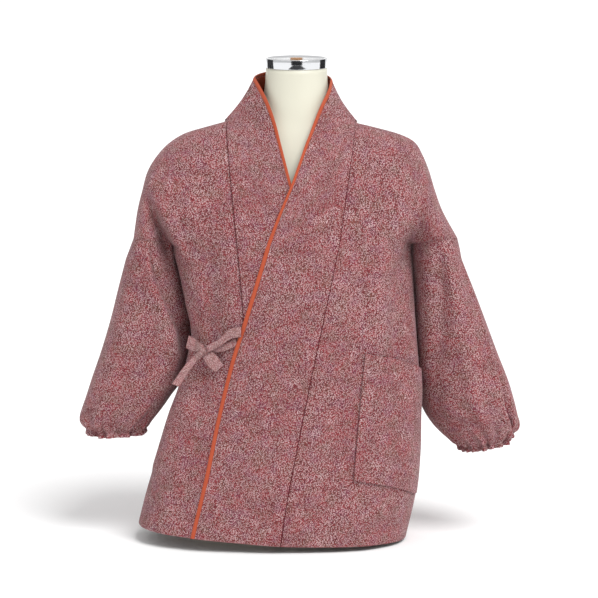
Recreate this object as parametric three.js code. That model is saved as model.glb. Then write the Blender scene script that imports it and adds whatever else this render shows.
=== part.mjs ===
import * as THREE from 'three';

// A kimono-style work top on a limbless dress form. Millimetres; X to the wearer's left, Y to the back, Z up.
// "right" and "left" are the wearer's own. Faces of cloth are given by their inner side.

const CLOTH = 1.2;          // thickness of the cloth
const GAP = 0.3;            // space between pieces that lie on or beside each other
const BAND_LIFT = 1.5;      // the band lies on the edge of its front
const BAND_START = 2.5;     // the band's edge, up from the seam line; less round the back of the neck
const BACK_START = 1.6;
const NECK_SAG = 4;         // how far the collar curves in beside the neck
const LAP_CLEAR = 1;        // space between the two fronts where they lap
const LAP = 5;              // how far a front reaches under its band
const UNDERARM_Z = 462;     // height of the underarm
const SEAM_RISE = 6;        // how far the sleeve seam rises over the front and back of the arm
const CREST_Y = 5;          // depth of the shoulder line
const SQUARE = 2.4;         // how square the body's front is in plan: 2 is an ellipse
const BACK_SQUARE = 2;
const PIPING_WIDE = 6.6;
const PIPING_THICK = 2.2;
const COLLAR_ROWS = 7;
const BODY_ROWS = 11;
const CHEST_ROWS = 8;

const V = (x, y, z) => new THREE.Vector3(x, y, z);
const mix = THREE.MathUtils.lerp;
const ease = THREE.MathUtils.smoothstep;

// One column of a table, read at a value of its key column along a smooth curve through the rows.
function read(table, key, at, column) {
  const up = table[0][key] < table[table.length - 1][key];
  const rows = up ? table : [...table].reverse();
  if (at <= rows[0][key]) return rows[0][column];
  if (at >= rows[rows.length - 1][key]) return rows[rows.length - 1][column];
  let i = 0;
  while (rows[i + 1][key] < at) i += 1;
  const slope = (k) => {
    const a = rows[Math.max(k - 1, 0)];
    const b = rows[Math.min(k + 1, rows.length - 1)];
    return (b[column] - a[column]) / (b[key] - a[key]);
  };
  const h = rows[i + 1][key] - rows[i][key];
  const t = (at - rows[i][key]) / h;
  const t2 = t * t;
  const t3 = t2 * t;
  return (2 * t3 - 3 * t2 + 1) * rows[i][column] + (t3 - 2 * t2 + t) * h * slope(i)
    + (3 * t2 - 2 * t3) * rows[i + 1][column] + (t3 - t2) * h * slope(i + 1);
}

// Body of the top: where it ends on each side, how far it reaches to the front and the back, and the
// depth of its side seams.
const BODY = [
  { z: 5, right: -250, left: 170, front: -131, back: 124, side: -6 },
  { z: 75, right: -232, left: 185, front: -130, back: 121, side: -10 },
  { z: 140, right: -212, left: 190, front: -127, back: 117, side: -16 },
  { z: 200, right: -193, left: 190, front: -124, back: 111, side: -24 },
  { z: 240, right: -177, left: 190, front: -121, back: 106, side: -28 },
  { z: 315, right: -158, left: 184, front: -118, back: 98, side: -30 },
  { z: 375, right: -168, left: 180, front: -117, back: 96, side: -26 },
  { z: 462, right: -186, left: 176, front: -113, back: 99, side: -10 },
  { z: 500, right: -190, left: 176, front: -108, back: 100, side: -10 },
  { z: 545, right: -190, left: 176, front: -96, back: 100, side: -10 },
  { z: 580, right: -190, left: 176, front: -84, back: 98, side: -10 },
  { z: 612, right: -190, left: 176, front: -72, back: 92, side: -10 },
];

// Height of the hem round the body, from the right side to the left.
const HEM = [
  { x: -250, front: 25, back: 25 },
  { x: -150, front: 20, back: 22 },
  { x: -70, front: 14, back: 19 },
  { x: 20, front: 10, back: 15 },
  { x: 110, front: 8, back: 10 },
  { x: 170, front: 5, back: 6 },
];

// Height and place of the shoulder line, from the end of the sleeve seam (along 0) to the neck (along 1).
const SHOULDER = {
  right: [
    { along: 0, x: -249, z: 468 },
    { along: 0.13, x: -243, z: 511 },
    { along: 0.26, x: -236, z: 541 },
    { along: 0.38, x: -228, z: 570 },
    { along: 0.5, x: -214, z: 593 },
    { along: 0.62, x: -196, z: 612 },
    { along: 0.74, x: -172, z: 627 },
    { along: 0.86, x: -143, z: 636 },
    { along: 1, x: -110, z: 645 },
  ],
  left: [
    { along: 0, x: 246, z: 468 },
    { along: 0.13, x: 224, z: 508 },
    { along: 0.26, x: 212, z: 541 },
    { along: 0.38, x: 203, z: 571 },
    { along: 0.5, x: 193, z: 595 },
    { along: 0.62, x: 181, z: 614 },
    { along: 0.74, x: 158, z: 626 },
    { along: 0.86, x: 126, z: 635 },
    { along: 1, x: 93, z: 643 },
  ],
};
const STATIONS = SHOULDER.right.map((row) => row.along);

// Seam between front and band, and the band's free edge, by height: the left one shows, the right one
// shows above the crossing and mirrors it below.
const SEAM = {
  right: [
    { z: 5, x: -55 }, { z: 80, x: -60 }, { z: 235, x: -72 }, { z: 290, x: -77 },
    { z: 350, x: -81.6 }, { z: 382, x: -83.6 }, { z: 462, x: -91 },
  ],
  left: [
    { z: 5, x: -22 }, { z: 82, x: -10.6 }, { z: 235, x: 19 }, { z: 288, x: 29.5 },
    { z: 388, x: 50.4 }, { z: 462, x: 66 },
  ],
};
const EDGE = {
  right: [
    { z: 5, x: 81 }, { z: 116, x: 67 }, { z: 199, x: 61 }, { z: 287, x: 50 },
    { z: 342, x: 38 }, { z: 462, x: 13 },
  ],
  left: [
    { z: 5, x: -154 }, { z: 25, x: -150.5 }, { z: 116, x: -129 }, { z: 199, x: -113 },
    { z: 287, x: -92 }, { z: 342, x: -75 }, { z: 462, x: -39 },
  ],
};

// Free edge of each band over the chest and beside the neck; rise is the share of the way up the chest.
const NECK_EDGE = {
  right: [
    { rise: 0, x: 13, y: -113, z: 462 },
    { rise: 0.35, x: 0, y: -104, z: 517 },
    { rise: 0.6, x: -13, y: -91, z: 560 },
    { rise: 0.75, x: -23, y: -80, z: 590 },
    { rise: 0.86, x: -33, y: -67, z: 618 },
    { rise: 0.95, x: -49, y: -44, z: 662 },
    { rise: 1, x: -68, y: 2, z: 708 },
  ],
  left: [
    { rise: 0, x: -39, y: -112, z: 462 },
    { rise: 0.35, x: -22, y: -105, z: 512 },
    { rise: 0.6, x: -2, y: -92, z: 562 },
    { rise: 0.75, x: 13, y: -78, z: 597 },
    { rise: 0.86, x: 28, y: -62, z: 631 },
    { rise: 0.95, x: 48, y: -38, z: 670 },
    { rise: 1, x: 55, y: 2, z: 705 },
  ],
};

// Round the back of the neck: the seam line and the top edge of the collar.
const NECK_BACK = { seam: { depth: 64, rise: 13 }, edge: { depth: 59, rise: 11 } };

// Long soft folds on the front, each from its upper end to its lower end, by spread and height.
const FOLDS = [
  { x1: -222, z1: 556, x2: -196, z2: 452, wide: 13, high: 5 },
  { x1: -190, z1: 456, x2: -160, z2: 335, wide: 15, high: 8 },
  { x1: -131, z1: 440, x2: -126, z2: 320, wide: 14, high: -6 },
  { x1: -150, z1: 300, x2: -205, z2: 120, wide: 15, high: 5 },
  { x1: -133, z1: 280, x2: -165, z2: 60, wide: 13, high: -4 },
  { x1: 118, z1: 400, x2: 116, z2: 60, wide: 14, high: 4 },
  { x1: 160, z1: 430, x2: 150, z2: 250, wide: 13, high: -4 },
  { x1: 176, z1: 590, x2: 178, z2: 440, wide: 14, high: -7 },
  { x1: 35, z1: 380, x2: -20, z2: 60, wide: 28, high: 2.5 },
];
const BACK_FOLDS = [
  { x1: -205, z1: 560, x2: -170, z2: 380, wide: 16, high: 6 },
  { x1: 190, z1: 560, x2: 170, z2: 380, wide: 16, high: 6 },
  { x1: -120, z1: 420, x2: -150, z2: 40, wide: 20, high: 6 },
  { x1: -40, z1: 380, x2: -50, z2: 40, wide: 22, high: -5 },
  { x1: 50, z1: 420, x2: 40, z2: 30, wide: 20, high: 5 },
  { x1: 125, z1: 400, x2: 120, z2: 30, wide: 18, high: -5 },
];

function fold(table, x, z) {
  let sum = 0;
  for (const f of table) {
    const dx = f.x2 - f.x1;
    const dz = f.z2 - f.z1;
    const t = ((x - f.x1) * dx + (z - f.z1) * dz) / (dx * dx + dz * dz);
    const k = Math.min(1, Math.max(0, t));
    const near = (x - f.x1 - k * dx) ** 2 + (z - f.z1 - k * dz) ** 2;
    sum += f.high * Math.exp(-near / (2 * f.wide * f.wide));
  }
  return sum;
}

// Depth of the body's cloth at a place across it: face is front or back.
function bodyDepth(x, z, face) {
  const right = read(BODY, 'z', z, 'right');
  const left = read(BODY, 'z', z, 'left');
  const across = Math.min(1, Math.abs(x - (left + right) / 2) / ((left - right) / 2));
  const side = read(BODY, 'z', z, 'side');
  const square = face === 'front' ? SQUARE : BACK_SQUARE;
  return side + (read(BODY, 'z', z, face) - side) * (1 - across ** square) ** (1 / square);
}

// A point of the body below the underarm, by angle from the right side (0) to the left (PI).
function bodyPoint(turn, share, face) {
  const c = Math.cos(turn);
  const square = face === 'front' ? SQUARE : BACK_SQUARE;
  const across = -Math.sign(c) * Math.abs(c) ** (2 / square);
  const place = (z) => {
    const right = read(BODY, 'z', z, 'right');
    const left = read(BODY, 'z', z, 'left');
    return (left + right) / 2 + across * (left - right) / 2;
  };
  const hem = read(HEM, 'x', place(10), face);
  const z = mix(hem, UNDERARM_Z, share);
  const x = place(z);
  const side = read(BODY, 'z', z, 'side');
  const reach = read(BODY, 'z', z, face) - side;
  return V(x, side + reach * Math.abs(Math.sin(turn)) ** (2 / square), z);
}

// The angle at which the body reaches a given place across.
function turnAt(x, z) {
  const right = read(BODY, 'z', z, 'right');
  const left = read(BODY, 'z', z, 'left');
  const across = (x - (left + right) / 2) / ((left - right) / 2);
  return Math.acos(-Math.sign(across) * Math.abs(across) ** (SQUARE / 2));
}

// A point above the underarm: the cloth rises from "low" to the shoulder line at "top" over a round chest.
function risePoint(low, top, climb, bulge, flare = 1, square = 1) {
  const s = Math.sin(climb);
  const c = Math.max(0, Math.cos(climb)) ** square;
  return V(
    low.x + (top.x - low.x) * c,
    top.y + (low.y - top.y) * s + bulge * Math.max(0, Math.sin(2 * climb)) ** flare,
    low.z + (top.z - low.z) * c + SEAM_RISE * (flare < 1 ? (1 - flare) / 0.45 : 0) * Math.sin(2 * climb),
  );
}

// How far the cloth stands out between the underarm and the shoulder line, and how squarely, by place.
const puff = (along) => 70 * (1 - along) ** 2 - 12 * along;
const flareAt = (along) => mix(0.55, 1, ease(along, 0, 0.5));

function shoulderPoint(side, along) {
  return V(read(SHOULDER[side], 'along', along, 'x'), CREST_Y, read(SHOULDER[side], 'along', along, 'z'));
}

// A front: rows from hem to shoulder line, columns from the side and sleeve seam to the band.
function frontPoint(side, along, row) {
  const sideTurn = side === 'right' ? 0 : Math.PI;
  const share = Math.min(1, row / BODY_ROWS);
  const seamZ = mix(read(HEM, 'x', read(SEAM[side], 'z', 10, 'x'), 'front'), UNDERARM_Z, share);
  const seamTurn = turnAt(read(SEAM[side], 'z', seamZ, 'x'), seamZ);
  const low = bodyPoint(mix(sideTurn, seamTurn, along), share, 'front');
  if (row <= BODY_ROWS) return low;
  const climb = (Math.PI / 2) * (1 - (row - BODY_ROWS) / CHEST_ROWS);
  return risePoint(low, shoulderPoint(side, along), climb, -puff(along), flareAt(along));
}

function seamPoint(side, row) {
  return frontPoint(side, 1, row);
}

// The band's free edge, on the same rows as its seam, then on round the back of the neck.
function edgePoint(side, row) {
  const share = Math.min(1, row / BODY_ROWS);
  if (row <= BODY_ROWS) {
    const hem = read(HEM, 'x', read(EDGE[side], 'z', 10, 'x'), 'front');
    const z = mix(hem, UNDERARM_Z, share);
    const x = read(EDGE[side], 'z', z, 'x');
    return V(x, bodyDepth(x, z, 'front'), z);
  }
  const rise = 1 - Math.cos((Math.PI / 2) * (row - BODY_ROWS) / CHEST_ROWS);
  const at = Math.sin((Math.PI / 2) * (row - BODY_ROWS) / CHEST_ROWS);
  const k = mix(at, rise, 0.5);
  return V(...['x', 'y', 'z'].map((c) => read(NECK_EDGE[side], 'rise', k, c)));
}

// Half of a ring round the back of the neck, from the side (0) to the centre back (1).
function neckBack(side, which, share) {
  const ends = ['right', 'left'].map((s) => (which === 'seam'
    ? shoulderPoint(s, 1) : edgePoint(s, BODY_ROWS + CHEST_ROWS)));
  const turn = (side === 'right' ? Math.PI : 0) + (side === 'right' ? -1 : 1) * share * Math.PI / 2;
  const middle = (ends[0].x + ends[1].x) / 2;
  const half = (ends[1].x - ends[0].x) / 2;
  const own = side === 'right' ? ends[0] : ends[1];
  const level = mix(own.z, (ends[0].z + ends[1].z) / 2, share);
  const { depth, rise } = NECK_BACK[which];
  return V(middle + half * Math.cos(turn), own.y + depth * Math.sin(turn), level + rise * Math.sin(turn));
}

// How far the left front and band stand off where the right ones lie under them.
function overlap(p) {
  const under = read(SEAM.right, 'z', p.z, 'x');
  const edge = p.z > UNDERARM_Z ? mix(17, -8, (p.z - UNDERARM_Z) / 105) : read(EDGE.right, 'z', p.z, 'x');
  const onFront = CLOTH + LAP_CLEAR;
  const onBand = (BAND_LIFT + GAP) * ease(p.x, under - 26, under - 8);
  const past = 1 - ease(p.x, edge + 16, edge + 60);
  const high = 1 - ease(p.z, 585, 625);
  return (onFront + onBand) * past * high;
}

// Unit normals of a grid, facing away from a point inside.
function normals(grid, inside, loop) {
  const rows = grid.length;
  const cols = grid[0].length;
  const out = grid.map((line, i) => line.map((p, j) => {
    const a = loop ? line[(j + cols - 1) % cols] : line[Math.max(j - 1, 0)];
    const b = loop ? line[(j + 1) % cols] : line[Math.min(j + 1, cols - 1)];
    const c = grid[Math.max(i - 1, 0)][j];
    const d = grid[Math.min(i + 1, rows - 1)][j];
    return b.clone().sub(a).cross(d.clone().sub(c)).normalize();
  }));
  let sum = 0;
  grid.forEach((line, i) => line.forEach((p, j) => {
    sum += out[i][j].dot(p.clone().sub(inside));
  }));
  const sign = sum < 0 ? -1 : 1;
  out.forEach((line) => line.forEach((n) => n.multiplyScalar(sign)));
  return { out, sign };
}

// A closed wall on a grid: from "low" to "high" millimetres out from its points, with its four rims.
function wall(grid, inside, low, high, options = {}) {
  const { loop = false, square = null } = options;
  const rows = grid.length;
  const cols = grid[0].length;
  const { out, sign } = normals(grid, inside, loop);
  const far = (d, i, j) => (typeof d === 'function' ? d(i, j, grid[i][j]) : d);
  const points = [];
  for (const d of [high, low]) {
    for (let i = 0; i < rows; i += 1) {
      for (let j = 0; j < cols; j += 1) {
        const n = out[i][j].clone();
        if (square) square(i, j, n);
        points.push(grid[i][j].clone().addScaledVector(n.normalize(), far(d, i, j)));
      }
    }
  }
  const faces = [];
  const inner = rows * cols;
  const quad = (a, b, c, d) => {
    if (sign > 0) faces.push(a, b, c, a, c, d);
    else faces.push(a, c, b, a, d, c);
  };
  const spans = loop ? cols : cols - 1;
  const id = (i, j) => i * cols + (j % cols);
  for (let i = 0; i < rows - 1; i += 1) {
    for (let j = 0; j < spans; j += 1) {
      quad(id(i, j), id(i, j + 1), id(i + 1, j + 1), id(i + 1, j));
      quad(inner + id(i, j), inner + id(i + 1, j), inner + id(i + 1, j + 1), inner + id(i, j + 1));
    }
  }
  for (let j = 0; j < spans; j += 1) {
    quad(id(0, j + 1), id(0, j), inner + id(0, j), inner + id(0, j + 1));
    const r = rows - 1;
    quad(id(r, j), id(r, j + 1), inner + id(r, j + 1), inner + id(r, j));
  }
  if (!loop) {
    for (let i = 0; i < rows - 1; i += 1) {
      quad(id(i, 0), id(i + 1, 0), inner + id(i + 1, 0), inner + id(i, 0));
      const c = cols - 1;
      quad(id(i + 1, c), id(i, c), inner + id(i, c), inner + id(i + 1, c));
    }
  }
  return solid(points, faces);
}

function solid(points, faces) {
  const geometry = new THREE.BufferGeometry();
  geometry.setAttribute('position', new THREE.Float32BufferAttribute(points.flatMap((p) => [p.x, p.y, p.z]), 3));
  geometry.setIndex(faces);
  geometry.computeVertexNormals();
  return geometry;
}

// Moves a grid's points out by the folds that cross it.
function folded(grid, inside, table, fade = () => 1) {
  const { out } = normals(grid, inside, false);
  return grid.map((line, i) => line.map((p, j) => p.clone()
    .addScaledVector(out[i][j], fold(table, p.x, p.z) * fade(i, j))));
}

const MIDDLE = V(-8, 4, 380);
const TOP_ROW = BODY_ROWS + CHEST_ROWS;

// Along seams between front, back and sleeve the rims stay square to the seam.
function seamRims(i, j, n, last) {
  if (i === TOP_ROW) n.y = 0;
  if (j === last && i <= BODY_ROWS) n.y = 0;
  if (j === last && i > BODY_ROWS) n.z = 0;
}

// A front's grid, from the band to the side; the first column lies under the band.
function frontGrid(side) {
  const grid = [];
  for (let i = 0; i <= TOP_ROW; i += 1) {
    const line = [...STATIONS].reverse().map((along) => frontPoint(side, along, i));
    const toEdge = edgePoint(side, i).sub(line[0]).normalize();
    line.unshift(line[0].clone().addScaledVector(toEdge, LAP));
    grid.push(line);
  }
  const fade = (i, j) => ease(TOP_ROW - i, 0, 4) * ease(STATIONS.length - j, 0, 2);
  const shaped = folded(grid, MIDDLE, FOLDS, fade);
  return shaped.map((line, i) => line.map((p, j) => {
    const q = p.clone();
    if (i === TOP_ROW) q.y -= GAP / 2;
    if (j === STATIONS.length && i <= BODY_ROWS) q.y -= i < BODY_ROWS ? GAP / 2 : GAP;
    return q;
  }));
}

const frontLift = (i, j, p) => overlap(p) * ease(TOP_ROW - i, 0, 4) * ease(STATIONS.length - j, 0, 3);

// The back's grid, from the right side to the left.
function backGrid() {
  const neckSteps = 4;
  const share = 0.31;
  const tops = [];
  for (const along of STATIONS) tops.push({ f: along * share, p: shoulderPoint('right', along), along });
  for (let k = 1; k <= neckSteps; k += 1) {
    tops.push({ f: mix(share, 0.5, k / neckSteps), p: neckBack('right', 'seam', k / neckSteps), along: 1 });
  }
  for (let k = neckSteps - 1; k >= 1; k -= 1) {
    tops.push({ f: 1 - mix(share, 0.5, k / neckSteps), p: neckBack('left', 'seam', k / neckSteps), along: 1 });
  }
  for (const along of [...STATIONS].reverse()) {
    tops.push({ f: 1 - along * share, p: shoulderPoint('left', along), along });
  }
  const grid = [];
  for (let i = 0; i <= TOP_ROW; i += 1) {
    grid.push(tops.map((top) => {
      const low = bodyPoint(top.f * Math.PI, Math.min(1, i / BODY_ROWS), 'back');
      if (i <= BODY_ROWS) return low;
      const climb = (Math.PI / 2) * (1 - (i - BODY_ROWS) / CHEST_ROWS);
      const stand = top.p.y > CREST_Y + 1 ? 0 : Math.max(0, puff(top.along));
      return risePoint(low, top.p, climb, stand, flareAt(top.along), mix(1, 0.62, ease(top.along, 0, 0.9)));
    }));
  }
  const last = tops.length - 1;
  const fade = (i, j) => ease(TOP_ROW - i, 0, 4) * ease(Math.min(j, last - j), 0, 2);
  return folded(grid, MIDDLE, BACK_FOLDS, fade).map((line, i) => line.map((p, j) => {
    const q = p.clone();
    if (i === TOP_ROW && tops[j].p.y === CREST_Y) q.y += GAP / 2;
    if ((j === 0 || j === last) && i < BODY_ROWS) q.y += GAP / 2;
    return q;
  }));
}

// A band's grid: rows run from the hem up the front and round the neck to the centre back.
function bandGrid(side, fromRow = 0, columns = [0, 0.25, 0.5, 0.75, 1]) {
  const grid = [];
  for (let i = fromRow; i <= TOP_ROW + COLLAR_ROWS; i += 1) {
    const share = (i - TOP_ROW) / COLLAR_ROWS;
    const seam = i <= TOP_ROW ? seamPoint(side, i) : neckBack(side, 'seam', share);
    const edge = i <= TOP_ROW ? edgePoint(side, i) : neckBack(side, 'edge', share);
    const rise = mix(BAND_START, BAND_START + 2.5, ease(i, TOP_ROW - 2, TOP_ROW));
    const start = (i <= TOP_ROW ? rise : BACK_START) / seam.distanceTo(edge);
    const level = i <= BODY_ROWS;
    const round = Math.max(0, 1 - (i - BODY_ROWS) / CHEST_ROWS);
    grid.push(columns.map((c) => {
      const k = mix(start, 1, c);
      const p = seam.clone().lerp(edge, k);
      const sag = NECK_SAG * ease(i, TOP_ROW - 3, TOP_ROW) * (1 - ease(share, 0, 0.8)) * Math.sin(Math.PI * k);
      p.x += side === 'right' ? sag : -sag;
      if (level) p.y = bodyDepth(p.x, p.z, 'front');
      else p.y -= 5 * round * Math.sin(Math.PI * k);
      return p;
    }));
  }
  const fade = () => 1;
  const shaped = folded(grid, MIDDLE, FOLDS, fade);
  const end = shaped[shaped.length - 1];
  end.forEach((p) => {
    p.x += (side === 'right' ? -1 : 1) * GAP / 2;
  });
  return shaped;
}

// A band lies on its front along the seam and sinks towards its free edge.
function bandLift(side, fromRow = 0) {
  return (i, j, p) => {
    const row = i + fromRow;
    const atSeam = mix(BAND_LIFT, GAP, ease(row, TOP_ROW, TOP_ROW + 1));
    const own = mix(atSeam, 0.4, j / 4);
    return own + (side === 'left' ? overlap(p) * (row <= TOP_ROW ? 1 : 0) : 0);
  };
}

function band(side) {
  const lift = bandLift(side);
  return wall(bandGrid(side), MIDDLE, lift, (i, j, p) => lift(i, j, p) + CLOTH, {
    square: (i, j, n) => {
      if (i === TOP_ROW + COLLAR_ROWS) n.x = 0;
    },
  });
}

// Piping: a flat bead that follows the free edge of a band, beside it.
function piping(side) {
  const grid = bandGrid(side);
  const { out } = normals(grid, MIDDLE, false);
  const lift = bandLift(side);
  const section = [[-0.5, 0], [-0.3, -0.42], [0.3, -0.42], [0.5, 0], [0.3, 0.5], [-0.3, 0.5]];
  const rings = grid.map((line, i) => {
    const p = line[4];
    const n = out[i][4];
    const across = p.clone().sub(line[3]).normalize();
    const centre = p.clone().addScaledVector(across, PIPING_WIDE / 2 + GAP)
      .addScaledVector(n, lift(i, 4, p) + CLOTH / 2);
    return section.map(([u, w]) => centre.clone()
      .addScaledVector(across, u * PIPING_WIDE).addScaledVector(n, w * PIPING_THICK));
  });
  return rod(rings);
}

// A closed rod through rings of points, with flat ends.
function rod(rings) {
  const count = rings[0].length;
  const points = rings.flat();
  const faces = [];
  const quad = (a, b, c, d) => faces.push(a, b, c, a, c, d);
  for (let i = 0; i < rings.length - 1; i += 1) {
    for (let j = 0; j < count; j += 1) {
      const k = (j + 1) % count;
      quad(i * count + j, i * count + k, (i + 1) * count + k, (i + 1) * count + j);
    }
  }
  for (let j = 1; j < count - 1; j += 1) {
    faces.push(0, j + 1, j);
    const e = (rings.length - 1) * count;
    faces.push(e, e + j, e + j + 1);
  }
  let volume = 0;
  for (let f = 0; f < faces.length; f += 3) {
    const [a, b, c] = [points[faces[f]], points[faces[f + 1]], points[faces[f + 2]]];
    volume += a.dot(b.clone().cross(c));
  }
  if (volume < 0) {
    for (let f = 0; f < faces.length; f += 3) [faces[f], faces[f + 1]] = [faces[f + 1], faces[f]];
  }
  return solid(points, faces);
}

// The facing inside the standing collar, from beside the neck on the right round to the left.
function facing() {
  const columns = [0.3, 0.55, 0.8, 1];
  const from = TOP_ROW - 2;
  const right = bandGrid('right', from, columns);
  const left = bandGrid('left', from, columns).reverse();
  const middle = right[right.length - 1].map((p, j) => p.clone().add(left[0][j]).multiplyScalar(0.5));
  const grid = [...right.slice(0, -1), middle, ...left.slice(1)];
  const top = (i, j) => -0.3 - 0.05 * j;
  return wall(grid, MIDDLE, (i, j) => top(i, j) - 1, top);
}

// Sleeves: a ring per row, from the seam to the elastic hem, by outer and inner end, middle
// and half depth.
const SLEEVE = {
  right: [
    { zo: 436, xo: -262, zi: 434, xi: -188, mid: 0, deep: 75, gather: 0 },
    { zo: 389, xo: -275, zi: 382, xi: -174, mid: 8, deep: 75, gather: 0 },
    { zo: 339, xo: -288, zi: 330, xi: -161, mid: 13, deep: 76, gather: 0 },
    { zo: 290, xo: -303, zi: 285, xi: -163, mid: 15, deep: 75, gather: 0 },
    { zo: 250, xo: -317, zi: 248, xi: -177, mid: 15, deep: 72, gather: 0.01 },
    { zo: 222, xo: -326, zi: 222, xi: -196, mid: 14, deep: 67, gather: 0.02 },
    { zo: 203, xo: -332, zi: 205, xi: -208, mid: 12, deep: 62, gather: 0.04 },
    { zo: 190, xo: -335, zi: 191, xi: -219, mid: 11, deep: 57, gather: 0.06 },
    { zo: 179, xo: -334, zi: 180, xi: -228, mid: 10, deep: 52, gather: 0.09 },
    { zo: 169, xo: -327, zi: 170, xi: -234, mid: 9, deep: 47, gather: 0.12 },
    { zo: 159, xo: -325, zi: 161, xi: -237, mid: 9, deep: 46, gather: 0.15 },
  ],
  left: [
    { zo: 436, xo: 255, zi: 434, xi: 181, mid: 0, deep: 75, gather: 0 },
    { zo: 389, xo: 274, zi: 380, xi: 183.5, mid: 8, deep: 75, gather: 0 },
    { zo: 339, xo: 293, zi: 325, xi: 185, mid: 13, deep: 76, gather: 0 },
    { zo: 289, xo: 312, zi: 270, xi: 188, mid: 15, deep: 76, gather: 0 },
    { zo: 245, xo: 329, zi: 222, xi: 191, mid: 15, deep: 73, gather: 0.01 },
    { zo: 215, xo: 338, zi: 195, xi: 200, mid: 14, deep: 69, gather: 0.02 },
    { zo: 195, xo: 343, zi: 177, xi: 213, mid: 12, deep: 63, gather: 0.04 },
    { zo: 180, xo: 346, zi: 163, xi: 228, mid: 11, deep: 57, gather: 0.06 },
    { zo: 168, xo: 344, zi: 152, xi: 242, mid: 10, deep: 52, gather: 0.09 },
    { zo: 158, xo: 338, zi: 143, xi: 252, mid: 9, deep: 47, gather: 0.12 },
    { zo: 149, xo: 335, zi: 134, xi: 258, mid: 9, deep: 46, gather: 0.15 },
  ],
};
const GATHERS = 10;
const SLEEVE_STEPS = 40;
const ARMHOLE_Y = -3;         // depth of the middle of the sleeve seam
const UNDERARM_CLEAR = 3.8;   // between the body's side and the sleeve at the underarm

// The sleeve seam: round the front of the arm from its outer end to the underarm, and back behind it.
function armhole(side, turn) {
  const front = turn <= Math.PI;
  const climb = (front ? turn : 2 * Math.PI - turn) / 2;
  const low = bodyPoint(side === 'right' ? 0 : Math.PI, 1, 'front');
  const p = risePoint(low, shoulderPoint(side, 0), climb, (front ? -1 : 1) * puff(0), flareAt(0));
  p.x += (side === 'right' ? -1 : 1) * UNDERARM_CLEAR * Math.sin(climb) ** 12;
  p.z -= GAP;
  return p;
}

function sleeve(side) {
  const grid = [];
  const outer = armhole(side, 0).x;
  const under = armhole(side, Math.PI).x;
  for (let i = 0; i <= SLEEVE[side].length; i += 1) {
    const row = SLEEVE[side][Math.max(i - 1, 0)];
    const line = [];
    for (let j = 0; j < SLEEVE_STEPS; j += 1) {
      const turn = (2 * Math.PI * j) / SLEEVE_STEPS;
      const top = armhole(side, turn);
      const ripple = 1 + row.gather * Math.cos(GATHERS * turn);
      const seamLike = i < 4 ? 1 - i / 4 : 0;
      const across = mix(Math.cos(turn) * ripple, (2 * (top.x - under)) / (outer - under) - 1, seamLike);
      const ahead = mix(Math.sin(turn) * ripple, (ARMHOLE_Y - top.y) / puff(0), seamLike);
      const middle = V((row.xo + row.xi) / 2, row.mid, (row.zo + row.zi) / 2);
      const arm = V((row.xo - row.xi) / 2, 0, (row.zo - row.zi) / 2);
      line.push(i === 0 ? top : middle.addScaledVector(arm, across).setY(row.mid - row.deep * ahead));
    }
    grid.push(line);
  }
  const centre = V((side === 'right' ? -1 : 1) * 255, CREST_Y, 300);
  return wall(grid, centre, 0, CLOTH, {
    loop: true,
    square: (i, j, n) => {
      if (i === 0) n.z = 0;
    },
  });
}

// Patch pocket on the left front: its corners by place across and height; the top edge gapes a little.
const POCKET = [
  { across: 0, left: 85, low: 112, high: 304 },
  { across: 0.25, left: 0, low: 103, high: 296 },
  { across: 0.5, left: 0, low: 93, high: 287 },
  { across: 0.75, left: 0, low: 82, high: 276 },
  { across: 1, left: 0, low: 78, high: 268 },
];
const POCKET_TOP_LEFT = 103;
const POCKET_SIDE_TURN = 0.03;

function pocket() {
  const grid = [];
  for (let i = 0; i <= 8; i += 1) {
    const line = [];
    for (let j = 0; j <= 8; j += 1) {
      const low = read(POCKET, 'across', j / 8, 'low');
      const high = read(POCKET, 'across', j / 8, 'high');
      const z = mix(low, high, i / 8);
      const leftTurn = turnAt(mix(POCKET[0].left, POCKET_TOP_LEFT, i / 8), z);
      const turn = mix(leftTurn, Math.PI - POCKET_SIDE_TURN, j / 8);
      const share = (z - 10) / (UNDERARM_Z - 10);
      line.push(bodyPoint(turn, share, 'front'));
    }
    grid.push(line);
  }
  const shaped = folded(grid, MIDDLE, FOLDS);
  const lift = (i, j, p) => {
    const gape = 9 * Math.sin(Math.PI * Math.min(1, (j / 8) * 1.05)) * ease(i, 3, 8);
    const belly = 1.5 * Math.sin((Math.PI * j) / 8) * ease(i, 0, 4);
    return CLOTH + GAP + overlap(p) + 1.1 * (1 - ease(j, 3, 8)) + gape + belly;
  };
  return wall(shaped, MIDDLE, lift, (i, j, p) => lift(i, j, p) + CLOTH);
}

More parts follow.
